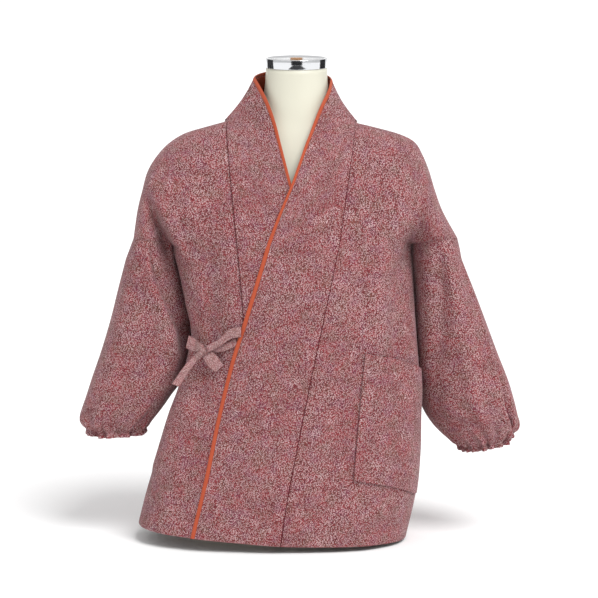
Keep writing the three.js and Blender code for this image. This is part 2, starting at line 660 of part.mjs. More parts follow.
// The tie: flat straps laid along short lines in front of the right front, by place, height, stand-off
// and half width across the strap.
const TIE = {
  tie_strap: [
    { x: -82, z: 338, off: 9, half: 8.5, tilt: 80 },
    { x: -98, z: 336, off: 12, half: 9, tilt: 66 },
    { x: -112, z: 327, off: 12, half: 7, tilt: 58 },
    { x: -126, z: 317, off: 10, half: 4, tilt: 70 },
  ],
  tie_under_strap: [
    { x: -92, z: 323, off: 3.8, half: 6, tilt: 66 },
    { x: -105, z: 315, off: 5.4, half: 5.5, tilt: 58 },
    { x: -118, z: 308, off: 6.4, half: 4.5, tilt: 58 },
    { x: -125.5, z: 307, off: 6.5, half: 3.5, tilt: 70 },
  ],
  tie_loop: [
    { x: -143.3, z: 309, off: 14, half: 6.5, tilt: 110 },
    { x: -152, z: 313, off: 16, half: 9.5, tilt: 112 },
    { x: -161, z: 317, off: 15, half: 11, tilt: 112 },
  ],
  tie_tail: [
    { x: -142, z: 299.5, off: 7.5, half: 4, tilt: 128 },
    { x: -155, z: 286, off: 11, half: 5, tilt: 134 },
    { x: -168, z: 271, off: 17, half: 6, tilt: 138 },
    { x: -181, z: 254, off: 23, half: 6.5, tilt: 140 },
  ],
  tie_front_end: [
    { x: -128, z: 298, off: 9, half: 9, tilt: 36 },
    { x: -118, z: 289, off: 12, half: 9.5, tilt: 38 },
    { x: -108, z: 281, off: 12, half: 9.5, tilt: 42 },
  ],
};
const STRAP_THICK = 1.6;

function strap(rows) {
  const lines = rows.map((row, i) => {
    const before = rows[Math.max(i - 1, 0)];
    const after = rows[Math.min(i + 1, rows.length - 1)];
    const tilt = THREE.MathUtils.degToRad(row.tilt);
    const base = bodyDepth(Math.max(row.x, -152), row.z, 'front') - fold(FOLDS, Math.max(row.x, -152), row.z);
    const along = V(after.x - before.x, 0, after.z - before.z).normalize();
    const across = V(Math.cos(tilt), 0, Math.sin(tilt));
    return { centre: V(row.x, base - row.off, row.z), across, along, half: row.half };
  });
  const grid = lines.map(({ centre, across, half }) => [-1, 0, 1].map((k) => centre.clone()
    .addScaledVector(across, k * half).add(V(0, 1.2 * k * k, 0))));
  return wall(grid, V(-130, 0, 300), 0, STRAP_THICK);
}

// The knot: a small rounded block of wound cloth.
function knot() {
  const rings = [];
  const size = { wide: 9, high: 6.5, deep: 5 };
  const middle = V(-136, bodyDepth(-136, 304, 'front') - fold(FOLDS, -136, 304) - 12, 304);
  for (let i = 0; i <= 6; i += 1) {
    const t = -0.86 + (1.72 * i) / 6;
    const r = Math.sqrt(1 - t * t) ** 0.7;
    const ring = [];
    for (let j = 0; j < 12; j += 1) {
      const a = (2 * Math.PI * j) / 12;
      const y = middle.y + Math.cos(a) * r * size.deep;
      ring.push(V(middle.x + t * size.wide, y, middle.z + Math.sin(a) * r * size.high));
    }
    rings.push(ring);
  }
  return rod(rings);
}

// Dress form: rings up to the chest, then a smooth rise to the shoulder line and the neck.
const FORM = [
  { z: 0, right: -128, left: 88, front: -22, back: 82 },
  { z: 14, right: -150, left: 106, front: -48, back: 94 },
  { z: 50, right: -170, left: 128, front: -84, back: 106 },
  { z: 100, right: -172, left: 142, front: -99, back: 109 },
  { z: 160, right: -164, left: 146, front: -101, back: 104 },
  { z: 230, right: -142, left: 142, front: -93, back: 90 },
  { z: 300, right: -130, left: 138, front: -89, back: 81 },
  { z: 360, right: -138, left: 142, front: -94, back: 82 },
  { z: 420, right: -150, left: 148, front: -100, back: 88 },
  { z: 470, right: -158, left: 150, front: -99, back: 91 },
  { z: 520, right: -164, left: 150, front: -87, back: 92 },
  { z: 550, right: -166, left: 149, front: -76, back: 90 },
];
const FORM_Y = 0;             // depth of the form's sides
const FORM_CLEAR = 0.6;       // between the form's shoulders and the cloth that rests on them
const NECK_RADIUS = 47.4;
const NECK_STEPS = 14;

// The form's shoulder line, from its tip to the root of the neck; the middle part carries the cloth.
function formShoulder(side) {
  const own = SHOULDER[side];
  const s = side === 'right' ? -1 : 1;
  const carry = (k) => V(own[k].x, CREST_Y, own[k].z - FORM_CLEAR);
  const tip = own[6];
  const neck = own[8];
  const root = V(s * 55, 4, 672);
  return [
    V(tip.x, CREST_Y, tip.z - 22),
    V(tip.x - s * 3, CREST_Y, tip.z - 10),
    V(mix(tip.x, own[7].x, 0.4), CREST_Y, mix(tip.z, own[7].z, 0.4) - 2.2),
    carry(7),
    carry(8),
    V(mix(neck.x, root.x, 0.5), CREST_Y, mix(neck.z, root.z, 0.42)),
    V(mix(neck.x, root.x, 0.82), CREST_Y, mix(neck.z, root.z, 0.78)),
    root,
  ];
}

function form() {
  const right = formShoulder('right');
  const left = formShoulder('left').reverse();
  const neckTurn = (k) => Math.PI - (Math.PI * k) / NECK_STEPS;
  const neckRing = (k, face, radius, depth, z, dip) => {
    const a = neckTurn(k);
    const front = face === 'front';
    const y = 4 + (front ? -depth : depth) * Math.sin(a);
    return V(radius * Math.cos(a), y, z - (front ? dip : -0.15 * dip) * Math.sin(a));
  };
  const tops = (face) => {
    const ring = [];
    const depth = face === 'front' ? 50 : 44;
    for (let k = 1; k < NECK_STEPS; k += 1) ring.push(neckRing(k, face, 55, depth, 672, 22));
    return [...right, ...ring, ...left];
  };
  const fronts = tops('front');
  const backs = tops('back');
  const count = fronts.length;
  const points = [];
  const add = (p) => points.push(p) - 1;
  const last = count - 1;
  const crowd = 0.72;         // the columns under the shoulders stand closer together
  const sideTurn = (j) => {
    let step = mix(7 * crowd, last - 7 * crowd, (j - 7) / (last - 14));
    if (j < 8) step = j * crowd;
    if (j > last - 8) step = last - (last - j) * crowd;
    return (Math.PI * step) / last;
  };
  const ringPoint = (j, z, face) => {
    const c = Math.cos(sideTurn(j));
    const l = read(FORM, 'z', z, 'left');
    const r = read(FORM, 'z', z, 'right');
    const x = (l + r) / 2 - Math.sign(c) * Math.abs(c) ** (2 / 2.2) * (l - r) / 2;
    const reach = read(FORM, 'z', z, face) - FORM_Y;
    return V(x, FORM_Y + reach * Math.abs(Math.sin(sideTurn(j))) ** (2 / 2.2), z);
  };
  const rows = [];
  const heights = [0, 6, 14, 30, 50, 100, 160, 230, 300, 360, 420, 470, 515, 550];
  const loopOf = (front, back) => [...front, ...back.slice(1, -1).reverse()];
  for (const z of heights) {
    const line = (face) => fronts.map((p, j) => ringPoint(j, z, face));
    rows.push(loopOf(line('front'), line('back')).map(add));
  }
  const climbs = 5;
  for (let i = 1; i < climbs; i += 1) {
    const climb = (Math.PI / 2) * (1 - i / climbs);
    const line = (face, ends) => ends.map((top, j) => {
      const hollow = (face === 'front' ? 14 : -4) * ease(Math.min(j, last - j), 1, 6);
      return risePoint(ringPoint(j, 550, face), top, climb, hollow);
    });
    rows.push(loopOf(line('front', fronts), line('back', backs)).map(add));
  }
  const crest = fronts.map(add);
  const behind = backs.map((p, j) => (j >= 8 && j < count - 8 ? add(p) : crest[j]));
  rows.push(loopOf(crest, behind));
  const faces = [];
  const join = (low, high) => {
    for (let j = 0; j < low.length; j += 1) {
      const k = (j + 1) % low.length;
      faces.push(low[j], low[k], high[k], low[j], high[k], high[j]);
    }
  };
  for (let i = 0; i < rows.length - 1; i += 1) join(rows[i], rows[i + 1]);
  let ring = loopOf(crest.slice(7, count - 7), behind.slice(7, count - 7));
  for (const row of [
    { radius: 51, depth: 49, z: 686, dip: 14 },
    { radius: 48.2, depth: 47.4, z: 704, dip: 8 },
    { radius: NECK_RADIUS, depth: NECK_RADIUS, z: 729, dip: 0 },
  ]) {
    const line = (face) => Array.from({ length: NECK_STEPS + 1 }, (_, k) => {
      const p = neckRing(k, face, row.radius, row.depth, row.z, row.dip);
      p.z += row.dip === 0 ? (p.y - 4) * CAP_TILT : 0;
      return p;
    });
    const next = loopOf(line('front'), line('back')).map(add);
    join(ring, next);
    ring = next;
  }
  for (let j = 1; j < ring.length - 1; j += 1) faces.push(ring[0], ring[j], ring[j + 1]);
  const base = rows[0];
  for (let j = 1; j < base.length - 1; j += 1) faces.push(base[0], base[j + 1], base[j]);
  return solid(points, faces);
}

// Chromed disc on the neck, tilted a little forward with it.
const CAP_TILT = 0.07;
const CAP = { radius: 47.7, high: 14.5, edge: 1.4, foot: 0.6 };

function cap() {
  const r = CAP.radius;
  const profile = [
    [0, 0], [r - CAP.foot, 0], [r, CAP.foot], [r, CAP.high - CAP.edge],
    [r - CAP.edge * 0.3, CAP.high - CAP.edge * 0.3], [r - CAP.edge, CAP.high], [0, CAP.high],
  ].map(([x, y]) => new THREE.Vector2(x, y));
  const geometry = new THREE.LatheGeometry(profile, 40);
  geometry.rotateX(Math.PI / 2);
  geometry.rotateX(Math.atan(CAP_TILT));
  geometry.translate(0, 4, 729 + GAP);
  return geometry;
}

const CLOTH_COLOUR = '#9c5a62';
const ORANGE = '#c8502a';
const CREAM = '#efe9dc';

function add(group, name, geometry, color, roughness = 0.9, metalness = 0) {
  const mesh = new THREE.Mesh(geometry, new THREE.MeshStandardMaterial({ color, roughness, metalness }));
  mesh.name = name;
  group.add(mesh);
}

const group = new THREE.Group();
const rightGrid = frontGrid('right');
const leftGrid = frontGrid('left');
const square = (i, j, n) => seamRims(i, j, n, STATIONS.length);
add(group, 'form_torso', form(), CREAM, 0.55);
add(group, 'form_cap', cap(), '#c9ccd0', 0.12, 1);
add(group, 'front_right', wall(rightGrid, MIDDLE, 0, CLOTH, { square }), CLOTH_COLOUR);
const frontTop = (i, j, p) => frontLift(i, j, p) + CLOTH;
add(group, 'front_left', wall(leftGrid, MIDDLE, frontLift, frontTop, { square }), CLOTH_COLOUR);
const backCloth = backGrid();
add(group, 'back', wall(backCloth, MIDDLE, 0, CLOTH, {
  square: (i, j, n) => {
    const last = backCloth[0].length - 1;
    if (i === TOP_ROW && (j < STATIONS.length || j > last - STATIONS.length)) n.y = 0;
    if ((j === 0 || j === last) && i <= BODY_ROWS) n.y = 0;
    if ((j === 0 || j === last) && i > BODY_ROWS) n.z = 0;
  },
}), CLOTH_COLOUR);
add(group, 'band_right', band('right'), CLOTH_COLOUR);
add(group, 'band_left', band('left'), CLOTH_COLOUR);
add(group, 'piping_right', piping('right'), ORANGE, 0.7);
add(group, 'piping_left', piping('left'), ORANGE, 0.7);
add(group, 'collar_facing', facing(), ORANGE, 0.7);
add(group, 'sleeve_right', sleeve('right'), CLOTH_COLOUR);
add(group, 'sleeve_left', sleeve('left'), CLOTH_COLOUR);
add(group, 'pocket', pocket(), CLOTH_COLOUR);
for (const [name, rows] of Object.entries(TIE)) add(group, name, strap(rows), CLOTH_COLOUR);
add(group, 'tie_knot', knot(), CLOTH_COLOUR);

export default group;
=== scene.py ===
import math

import bmesh
import bpy
import numpy as np
from mathutils import Matrix, Vector


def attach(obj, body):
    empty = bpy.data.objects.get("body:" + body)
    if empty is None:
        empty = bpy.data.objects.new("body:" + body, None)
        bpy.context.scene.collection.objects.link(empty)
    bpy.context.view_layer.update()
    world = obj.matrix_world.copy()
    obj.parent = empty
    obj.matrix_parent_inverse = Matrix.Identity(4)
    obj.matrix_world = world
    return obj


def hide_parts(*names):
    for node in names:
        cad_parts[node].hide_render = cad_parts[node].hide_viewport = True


# A kimono-style work top on a limbless dress form. "right" and "left" are the wearer's own.
# Shapes are worked out in millimetres, as on a maker's pattern, and every mesh is made in metres.
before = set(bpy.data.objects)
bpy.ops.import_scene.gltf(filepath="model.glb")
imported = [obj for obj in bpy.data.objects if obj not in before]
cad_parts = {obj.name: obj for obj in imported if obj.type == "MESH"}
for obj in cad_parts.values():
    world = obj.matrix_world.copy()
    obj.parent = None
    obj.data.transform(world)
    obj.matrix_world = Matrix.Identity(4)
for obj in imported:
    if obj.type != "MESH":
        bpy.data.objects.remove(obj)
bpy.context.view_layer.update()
MM = 0.001


# Dress form: one smooth moulded body in cream plastic, without arms, on a flat base set back inside
# the hem. Made from the CAD solid's own faces, joined to quads and rounded, so the cloth that rests on
# its shoulders still does.
def finish_piece(piece, nodes, material):
    """Material and frame declaration (parenting to the root body) that every piece gets; the CAD parts it
    replaces are hidden.
    """
    piece.data.materials.clear()
    piece.data.materials.append(material)
    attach(piece, "root")
    if nodes:
        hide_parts(*nodes)
    return piece


def new_material(name, rough):
    material = bpy.data.materials.new(name)
    material.use_nodes = True
    shader = material.node_tree.nodes["Principled BSDF"]
    shader.inputs["Roughness"].default_value = rough
    return material, material.node_tree, shader


def feed(tree, socket, value):
    """A socket gets a link where its value comes from another node, and a constant otherwise."""
    if isinstance(value, bpy.types.NodeSocket):
        tree.links.new(value, socket)
    else:
        socket.default_value = value


def noise_node(tree, vector, scale, detail=2.0):
    node = tree.nodes.new("ShaderNodeTexNoise")
    node.inputs["Scale"].default_value = scale
    node.inputs["Detail"].default_value = detail
    tree.links.new(vector, node.inputs["Vector"])
    return node.outputs["Fac"]


def mix_colour(tree, factor, first, second):
    node = tree.nodes.new("ShaderNodeMix")
    node.data_type = "RGBA"
    for number, value in ((0, factor), (6, first), (7, second)):
        feed(tree, node.inputs[number], value)
    return node.outputs[2]


def make_active(piece):
    bpy.ops.object.select_all(action="DESELECT")
    piece.select_set(True)
    bpy.context.view_layer.objects.active = piece


CREAM = (0.61, 0.60, 0.50, 1.0)
PALE_CREAM = (0.72, 0.695, 0.57, 1.0)
NECK_ROOT = (0.640, 0.712)
NECK_HALF = 0.08
SHARP_EDGE = math.radians(60)
cream, tree, shader = new_material("form_cream", 0.42)
place = tree.nodes.new("ShaderNodeTexCoord").outputs["Object"]
tint = mix_colour(tree, noise_node(tree, place, 9.0), CREAM, PALE_CREAM)
tree.links.new(tint, shader.inputs["Base Color"])

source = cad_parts["form_torso"]
form = source.copy()
form.data = source.data.copy()
form.name = "dress_form"
bpy.context.collection.objects.link(form)
shell = bmesh.new()
shell.from_mesh(form.data)
bmesh.ops.remove_doubles(shell, verts=shell.verts, dist=0.00002)
bmesh.ops.join_triangles(
    shell, faces=shell.faces, angle_face_threshold=SHARP_EDGE, angle_shape_threshold=SHARP_EDGE
)
root_ring = [
    v for v in shell.verts if NECK_ROOT[0] < v.co.z < NECK_ROOT[1] and abs(v.co.x) < NECK_HALF
]
for _ in range(5):
    bmesh.ops.smooth_vert(
        shell, verts=root_ring, factor=0.5, use_axis_x=True, use_axis_y=True, use_axis_z=True
    )
sharp = shell.edges.layers.float.new("crease_edge")
for edge in shell.edges:
    if len(edge.link_faces) == 2 and edge.calc_face_angle() > SHARP_EDGE:
        edge[sharp] = 1.0
shell.to_mesh(form.data)
shell.free()
make_active(form)
rounding = form.modifiers.new("rounding", "SUBSURF")
rounding.levels = 2
rounding.render_levels = 2
bpy.ops.object.modifier_apply(modifier=rounding.name)
bpy.ops.object.shade_smooth()
finish_piece(form, ["form_torso"], cream)


# Cap on the neck: a chromed steel disc pressed over the form's neck, tilted a little forward with it,
# with a rounded rim, a shallow ring on top and a small brass plug in the middle.
CAP_RADIUS = 0.0477
CAP_HIGH = 0.0145
CAP_TILT = 0.07
CAP_FOOT = Vector((0, 0.004, 0.7293))
PLUG_RADIUS = 0.0100
RIM_FLAT = 0.004
GROOVE_WIDE = 0.0012
GROOVE_DEEP = 0.0008
DISH_WIDE = 0.030


def range_node(tree, value, low, high, out_low=0.0, out_high=1.0):
    node = tree.nodes.new("ShaderNodeMapRange")
    node.interpolation_type = "SMOOTHSTEP"
    names = ("From Min", "From Max", "To Min", "To Max")
    for name, number in zip(names, (low, high, out_low, out_high)):
        node.inputs[name].default_value = number
    tree.links.new(value, node.inputs["Value"])
    return node.outputs["Result"]


chrome, tree, shader = new_material("cap_chrome", 0.09)
shader.inputs["Metallic"].default_value = 1.0
shader.inputs["Base Color"].default_value = (0.72, 0.73, 0.75, 1.0)
place = tree.nodes.new("ShaderNodeTexCoord").outputs["Object"]
smear = noise_node(tree, place, 60.0)
tree.links.new(range_node(tree, smear, 0.3, 0.7, 0.06, 0.14), shader.inputs["Roughness"])

bpy.ops.object.select_all(action="DESELECT")
bpy.ops.mesh.primitive_cylinder_add(
    vertices=96, radius=CAP_RADIUS, depth=CAP_HIGH, location=(0, 0, CAP_HIGH / 2)
)
cap = bpy.context.object
cap.name = "neck_cap"
bpy.ops.object.transform_apply(location=True, rotation=True, scale=True)
bpy.ops.object.mode_set(mode="EDIT")
disc = bmesh.from_edit_mesh(cap.data)
for face in disc.faces:
    face.select = face.normal.z > 0.9
bmesh.update_edit_mesh(cap.data)
bpy.ops.mesh.inset(thickness=RIM_FLAT, depth=0)
bpy.ops.mesh.inset(thickness=GROOVE_WIDE, depth=-GROOVE_DEEP)
bpy.ops.mesh.inset(thickness=DISH_WIDE, depth=GROOVE_DEEP / 2)
bpy.ops.mesh.inset(thickness=CAP_RADIUS - RIM_FLAT - GROOVE_WIDE - DISH_WIDE - PLUG_RADIUS, depth=0)
bpy.ops.mesh.inset(thickness=GROOVE_WIDE / 2, depth=GROOVE_DEEP)
bpy.ops.object.mode_set(mode="OBJECT")
rim = cap.modifiers.new("rim", "BEVEL")
rim.width = 0.0011
rim.segments = 3
rim.limit_method = "ANGLE"
rim.angle_limit = math.radians(50)
bpy.ops.object.modifier_apply(modifier=rim.name)
cap.data.transform(Matrix.Translation(CAP_FOOT) @ Matrix.Rotation(math.atan(CAP_TILT), 4, "X"))
bpy.ops.object.shade_smooth_by_angle(angle=math.radians(35))
finish_piece(cap, ["form_cap"], chrome)

brass, tree, shader = new_material("plug_brass", 0.25)
shader.inputs["Metallic"].default_value = 1.0
shader.inputs["Base Color"].default_value = (0.60, 0.30, 0.12, 1.0)
cap.data.materials.append(brass)
for face in cap.data.polygons:
    if (face.center - CAP_FOOT).xy.length < PLUG_RADIUS + GROOVE_WIDE and face.normal.z > 0:
        face.material_index = 1


# Right and left front: cotton panels hung from the shoulder line, the left lapping over the right.
# Each is a grid worked out from the body's widths and depths by height, with its folds, and is given
# its thickness by a Solidify modifier. The flecked cloth's material is made here too.
CLOTH = 1.2
GAP = 0.3
BAND_LIFT = 1.5
LAP_CLEAR = 1.0
LAP = 5.0
UNDERARM_Z = 462.0
SEAM_RISE = 6.0
SEAM_FLARE = 0.55
CREST_Y = 5.0
SQUARE = {"front": 2.7, "back": 2.0}
TURN = math.pi / 2
MIDDLE = np.array([-8.0, 4.0, 380.0])

BODY = {
    "z": [5, 75, 140, 200, 240, 315, 375, 462, 500, 545, 580, 612],
    "right": [-250, -232, -212, -193, -177, -158, -168, -186, -190, -190, -190, -190],
    "left": [170, 185, 190, 190, 190, 184, 180, 176, 176, 176, 176, 176],
    "front": [-131, -130, -127, -124, -121, -118, -117, -113, -108, -96, -84, -72],
    "back": [124, 121, 117, 111, 106, 98, 96, 99, 100, 100, 98, 92],
    "side": [-6, -10, -16, -24, -28, -30, -26, -10, -10, -10, -10, -10],
}
HEM = {
    "x": [-250, -150, -70, 20, 110, 170],
    "front": [25, 20, 14, 10, 8, 5],
    "back": [25, 22, 19, 15, 10, 6],
}
SHOULDER = {
    "right": {
        "along": [0, 0.13, 0.26, 0.38, 0.5, 0.62, 0.74, 0.86, 1],
        "x": [-249, -243, -236, -228, -214, -196, -172, -143, -110],
        "z": [468, 511, 541, 570, 593, 612, 627, 636, 645],
    },
    "left": {
        "along": [0, 0.13, 0.26, 0.38, 0.5, 0.62, 0.74, 0.86, 1],
        "x": [246, 224, 212, 203, 193, 181, 158, 126, 93],
        "z": [468, 508, 541, 571, 595, 614, 626, 635, 643],
    },
}
SEAM = {
    "right": {"z": [5, 80, 235, 290, 350, 382, 462], "x": [-55, -60, -72, -77, -81.6, -83.6, -91]},
    "left": {"z": [5, 82, 235, 288, 388, 462], "x": [-22, -10.6, 19, 29.5, 50.4, 66]},
}
EDGE = {
    "right": {"z": [5, 116, 199, 287, 342, 462], "x": [81, 67, 61, 50, 38, 13]},
    "left": {"z": [5, 25, 116, 199, 287, 342, 462], "x": [-156, -152.5, -131, -113.5, -92, -75, -39]},
}
# Soft folds, each from its upper end to its lower end, by spread and height: a minus is a trough.
FOLDS = {
    "x1": [-222, -190, -131, -150, -133, 118, 160, 176, 35],
    "z1": [556, 456, 440, 300, 280, 400, 430, 590, 380],
    "x2": [-196, -160, -126, -205, -165, 116, 150, 178, -20],
    "z2": [452, 335, 320, 120, 60, 60, 250, 440, 60],
    "wide": [13, 15, 14, 15, 13, 14, 13, 14, 28],
    "high": [5, 4, -6, 8, -7, 5, -5, -7, 3.5],
}
# Creases on top of the folds, the same kind of table: the valley beside each arm, the pull towards the
# tie, and slack below it. They stand out in depth only, so that they run on across the sleeve seam.
FRONT_CREASES = {
    "x1": [-232, -214, -178, -141, -119, -137, -124, -108, 98, 130, 142, 60, 105, 192, -192, 176],
    "z1": [548, 548, 560, 395, 400, 286, 270, 275, 470, 480, 380, 250, 560, 575, 300, 560],
    "x2": [-195, -174, -176, -146, -112, -215, -150, -125, 104, 134, 150, 30, 120, 184, -232, 164],
    "z2": [456, 452, 440, 320, 330, 205, 150, 110, 300, 330, 310, 40, 480, 462, 180, 462],
    "wide": [6.5, 7, 8, 5, 6, 8, 8, 9, 12, 8, 6, 16, 14, 9, 10, 8],
    "high": [-38, 12, -3, 2.6, 1.8, -4.6, 3.8, -2.4, -2.4, 2.2, -2, -1.6, -2, -9, 3.4, 3],
    "grow": [1, 1, 0, 0, 0, 0, 0, 0, 0, 0, 0, 0, 0, 1, 0, 1],
}


def creased(grid, table, share, forward=-1.0):
    """Points moved forward by the creases of a table, or back where forward is 1."""
    grid = grid.copy()
    grid[..., 1] += forward * fold(table, grid[..., 0], grid[..., 2]) * share
    return grid


def mix(first, second, share):
    return first + (second - first) * share


def ease(value, low, high):
    t = np.clip((value - low) / (high - low), 0, 1)
    return t * t * (3 - 2 * t)


def read(table, key, at, column):
    """A column of a table, read at values of its key column along a smooth curve."""
    x = np.array(table[key], float)
    y = np.array(table[column], float)
    if x[0] > x[-1]:
        x, y = x[::-1], y[::-1]
    before = np.maximum(np.arange(len(x)) - 1, 0)
    after = np.minimum(np.arange(len(x)) + 1, len(x) - 1)
    slope = (y[after] - y[before]) / (x[after] - x[before])
    at = np.clip(at, x[0], x[-1])
    i = np.clip(np.searchsorted(x, at, side="right") - 1, 0, len(x) - 2)
    h = x[i + 1] - x[i]
    t = (at - x[i]) / h
    keep = 2 * t**3 - 3 * t**2 + 1
    return (
        keep * y[i] + (t**3 - 2 * t**2 + t) * h * slope[i]
        + (1 - keep) * y[i + 1] + (t**3 - t**2) * h * slope[i + 1]
    )


def points(x, y, z):
    return np.stack(np.broadcast_arrays(x, y, z), axis=-1).astype(float)


def fold(table, x, z):
    """Height of a table's folds at places across and up; one that grows starts from nothing."""
    total = np.zeros(np.broadcast(x, z).shape)
    grows = table.get("grow", [0] * len(table["x1"]))
    columns = [table[c] for c in ("x1", "z1", "x2", "z2", "wide", "high")]
    for x1, z1, x2, z2, wide, high, grow in zip(*columns, grows):
        dx, dz = x2 - x1, z2 - z1
        k = np.clip(((x - x1) * dx + (z - z1) * dz) / (dx * dx + dz * dz), 0, 1)
        near = (x - x1 - k * dx) ** 2 + (z - z1 - k * dz) ** 2
        total = total + high * mix(1, k**0.7, grow) * np.exp(-near / (2 * wide * wide))
    return total


def body_depth(x, z, face):
    """Depth of the body's cloth at a place across it."""
    right, left = read(BODY, "z", z, "right"), read(BODY, "z", z, "left")
    across = np.minimum(1, np.abs(x - (left + right) / 2) / ((left - right) / 2))
    side = read(BODY, "z", z, "side")
    square = SQUARE[face]
    return side + (read(BODY, "z", z, face) - side) * (1 - across**square) ** (1 / square)


def body_point(turn, share, face):
    """A point below the underarm, by angle from the right side (0) to the left (pi)."""
    square = SQUARE[face]
    c = np.cos(turn)
    across = -np.sign(c) * np.abs(c) ** (2 / square)

    def place(z):
        right, left = read(BODY, "z", z, "right"), read(BODY, "z", z, "left")
        return (left + right) / 2 + across * (left - right) / 2

    z = mix(read(HEM, "x", place(10.0), face), UNDERARM_Z, share)
    side = read(BODY, "z", z, "side")
    reach = read(BODY, "z", z, face) - side
    return points(place(z), side + reach * np.abs(np.sin(turn)) ** (2 / square), z)


def turn_at(x, z):
    right, left = read(BODY, "z", z, "right"), read(BODY, "z", z, "left")
    across = (x - (left + right) / 2) / ((left - right) / 2)
    return np.arccos(-np.sign(across) * np.abs(across) ** (SQUARE["front"] / 2))


def rise_point(low, top, climb, bulge, flare, square=1.0):
    """A point above the underarm, between the body at low and the shoulder line at top."""
    s, c = np.sin(climb), np.maximum(0, np.cos(climb)) ** square
    twice = np.maximum(0, np.sin(2 * climb))
    lift = SEAM_RISE * np.maximum(0, 1 - flare) / (1 - SEAM_FLARE) * twice
    return points(
        low[..., 0] + (top[..., 0] - low[..., 0]) * c,
        top[..., 1] + (low[..., 1] - top[..., 1]) * s + bulge * twice**flare,
        low[..., 2] + (top[..., 2] - low[..., 2]) * c + lift,
    )


PUFF_AT_SEAM = 70.0
PUFF_AT_NECK = 12.0


def puff(along):
    return PUFF_AT_SEAM * (1 - along) ** 2 - PUFF_AT_NECK * along


def flare_at(along):
    return mix(SEAM_FLARE, 1, ease(along, 0, 0.5))


def shoulder_point(side, along):
    table = SHOULDER[side]
    return points(read(table, "along", along, "x"), CREST_Y, read(table, "along", along, "z"))


def front_point(side, along, up):
    """up runs from 0 at the hem over 1 at the underarm to 2 at the shoulder line."""
    side_turn = 0.0 if side == "right" else math.pi
    share = np.minimum(1, up)
    seam_z = mix(read(HEM, "x", read(SEAM[side], "z", 10.0, "x"), "front"), UNDERARM_Z, share)
    seam_turn = turn_at(read(SEAM[side], "z", seam_z, "x"), seam_z)
    low = body_point(mix(side_turn, seam_turn, along), share, "front")
    climb = TURN * (2 - up)
    high = rise_point(low, shoulder_point(side, along), climb, -puff(along), flare_at(along))
    return np.where((up <= 1)[..., None], low, high)


NECK_EDGE = {
    "right": {
        "rise": [0, 0.35, 0.6, 0.75, 0.86, 0.93, 0.97, 1],
        "x": [13, 0, -13, -21, -28.5, -38, -49.5, -66],
        "y": [-113, -104, -91, -80, -67, -50, -30, 2],
        "z": [462, 517, 560, 590, 618, 651, 679, 708],
    },
    "left": {
        "rise": [0, 0.35, 0.6, 0.75, 0.86, 0.95, 0.975, 1],
        "x": [-39, -22, -2, 10.5, 24.5, 41, 51, 54.5],
        "y": [-112, -105, -92, -78, -62, -38, -20, 2],
        "z": [462, 512, 562, 597, 631, 670, 690, 705],
    },
}


def edge_point(side, up):
    """The band's free edge, at the same heights as its seam."""
    hem = read(HEM, "x", read(EDGE[side], "z", 10.0, "x"), "front")
    z = mix(hem, UNDERARM_Z, np.minimum(1, up))
    x = read(EDGE[side], "z", z, "x")
    low = points(x, body_depth(x, z, "front"), z)
    climb = TURN * np.maximum(0, up - 1)
    k = mix(np.sin(climb), 1 - np.cos(climb), 0.5)
    high = points(*(read(NECK_EDGE[side], "rise", k, c) for c in "xyz"))
    return np.where((up <= 1)[..., None], low, high)


# Where the right band's edge runs under the left one above the underarm, how wide the step over its seam
# and the fade past its edge are, and the heights between which the two fronts part.
UNDER_EDGE = {"low": 17, "high": -8, "rise": 105}
STEP_SPAN = (-26, -8)
FADE_SPAN = (16, 60)
PART_SPAN = (585, 625)


def overlap(p):
    """How far the left front and band stand off where the right ones lie under them."""
    x, z = p[..., 0], p[..., 2]
    under = read(SEAM["right"], "z", z, "x")
    upper = mix(UNDER_EDGE["low"], UNDER_EDGE["high"], (z - UNDERARM_Z) / UNDER_EDGE["rise"])
    edge = np.where(z > UNDERARM_Z, upper, read(EDGE["right"], "z", z, "x"))
    on_band = (BAND_LIFT + GAP) * ease(x - under, *STEP_SPAN)
    past = 1 - ease(x - edge, *FADE_SPAN)
    return (CLOTH + LAP_CLEAR + on_band) * past * (1 - ease(z, *PART_SPAN))


def grid_normals(grid, inside, loop=False):
    """Unit normals of a grid, facing away from a point inside, and whether its faces turn that way."""
    if loop:
        along = np.roll(grid, -1, axis=1) - np.roll(grid, 1, axis=1)
    else:
        along = np.gradient(grid, axis=1)
    out = np.cross(along, np.gradient(grid, axis=0))
    out /= np.linalg.norm(out, axis=-1, keepdims=True)
    sign = 1.0 if np.sum(out * (grid - inside)) > 0 else -1.0
    return out * sign, sign


def moved_out(grid, inside, distance, loop=False):
    return grid + grid_normals(grid, inside, loop)[0] * np.asarray(distance)[..., None]


def arc_lengths(grid, axis):
    steps = np.linalg.norm(np.diff(grid, axis=axis), axis=-1)
    start = np.zeros_like(np.take(steps, [0], axis=axis))
    return np.cumsum(np.concatenate([start, steps], axis=axis), axis=axis)


def place_mesh(name, mesh):
    piece = bpy.data.objects.new(name, mesh)
    bpy.context.collection.objects.link(piece)
    make_active(piece)
    return piece


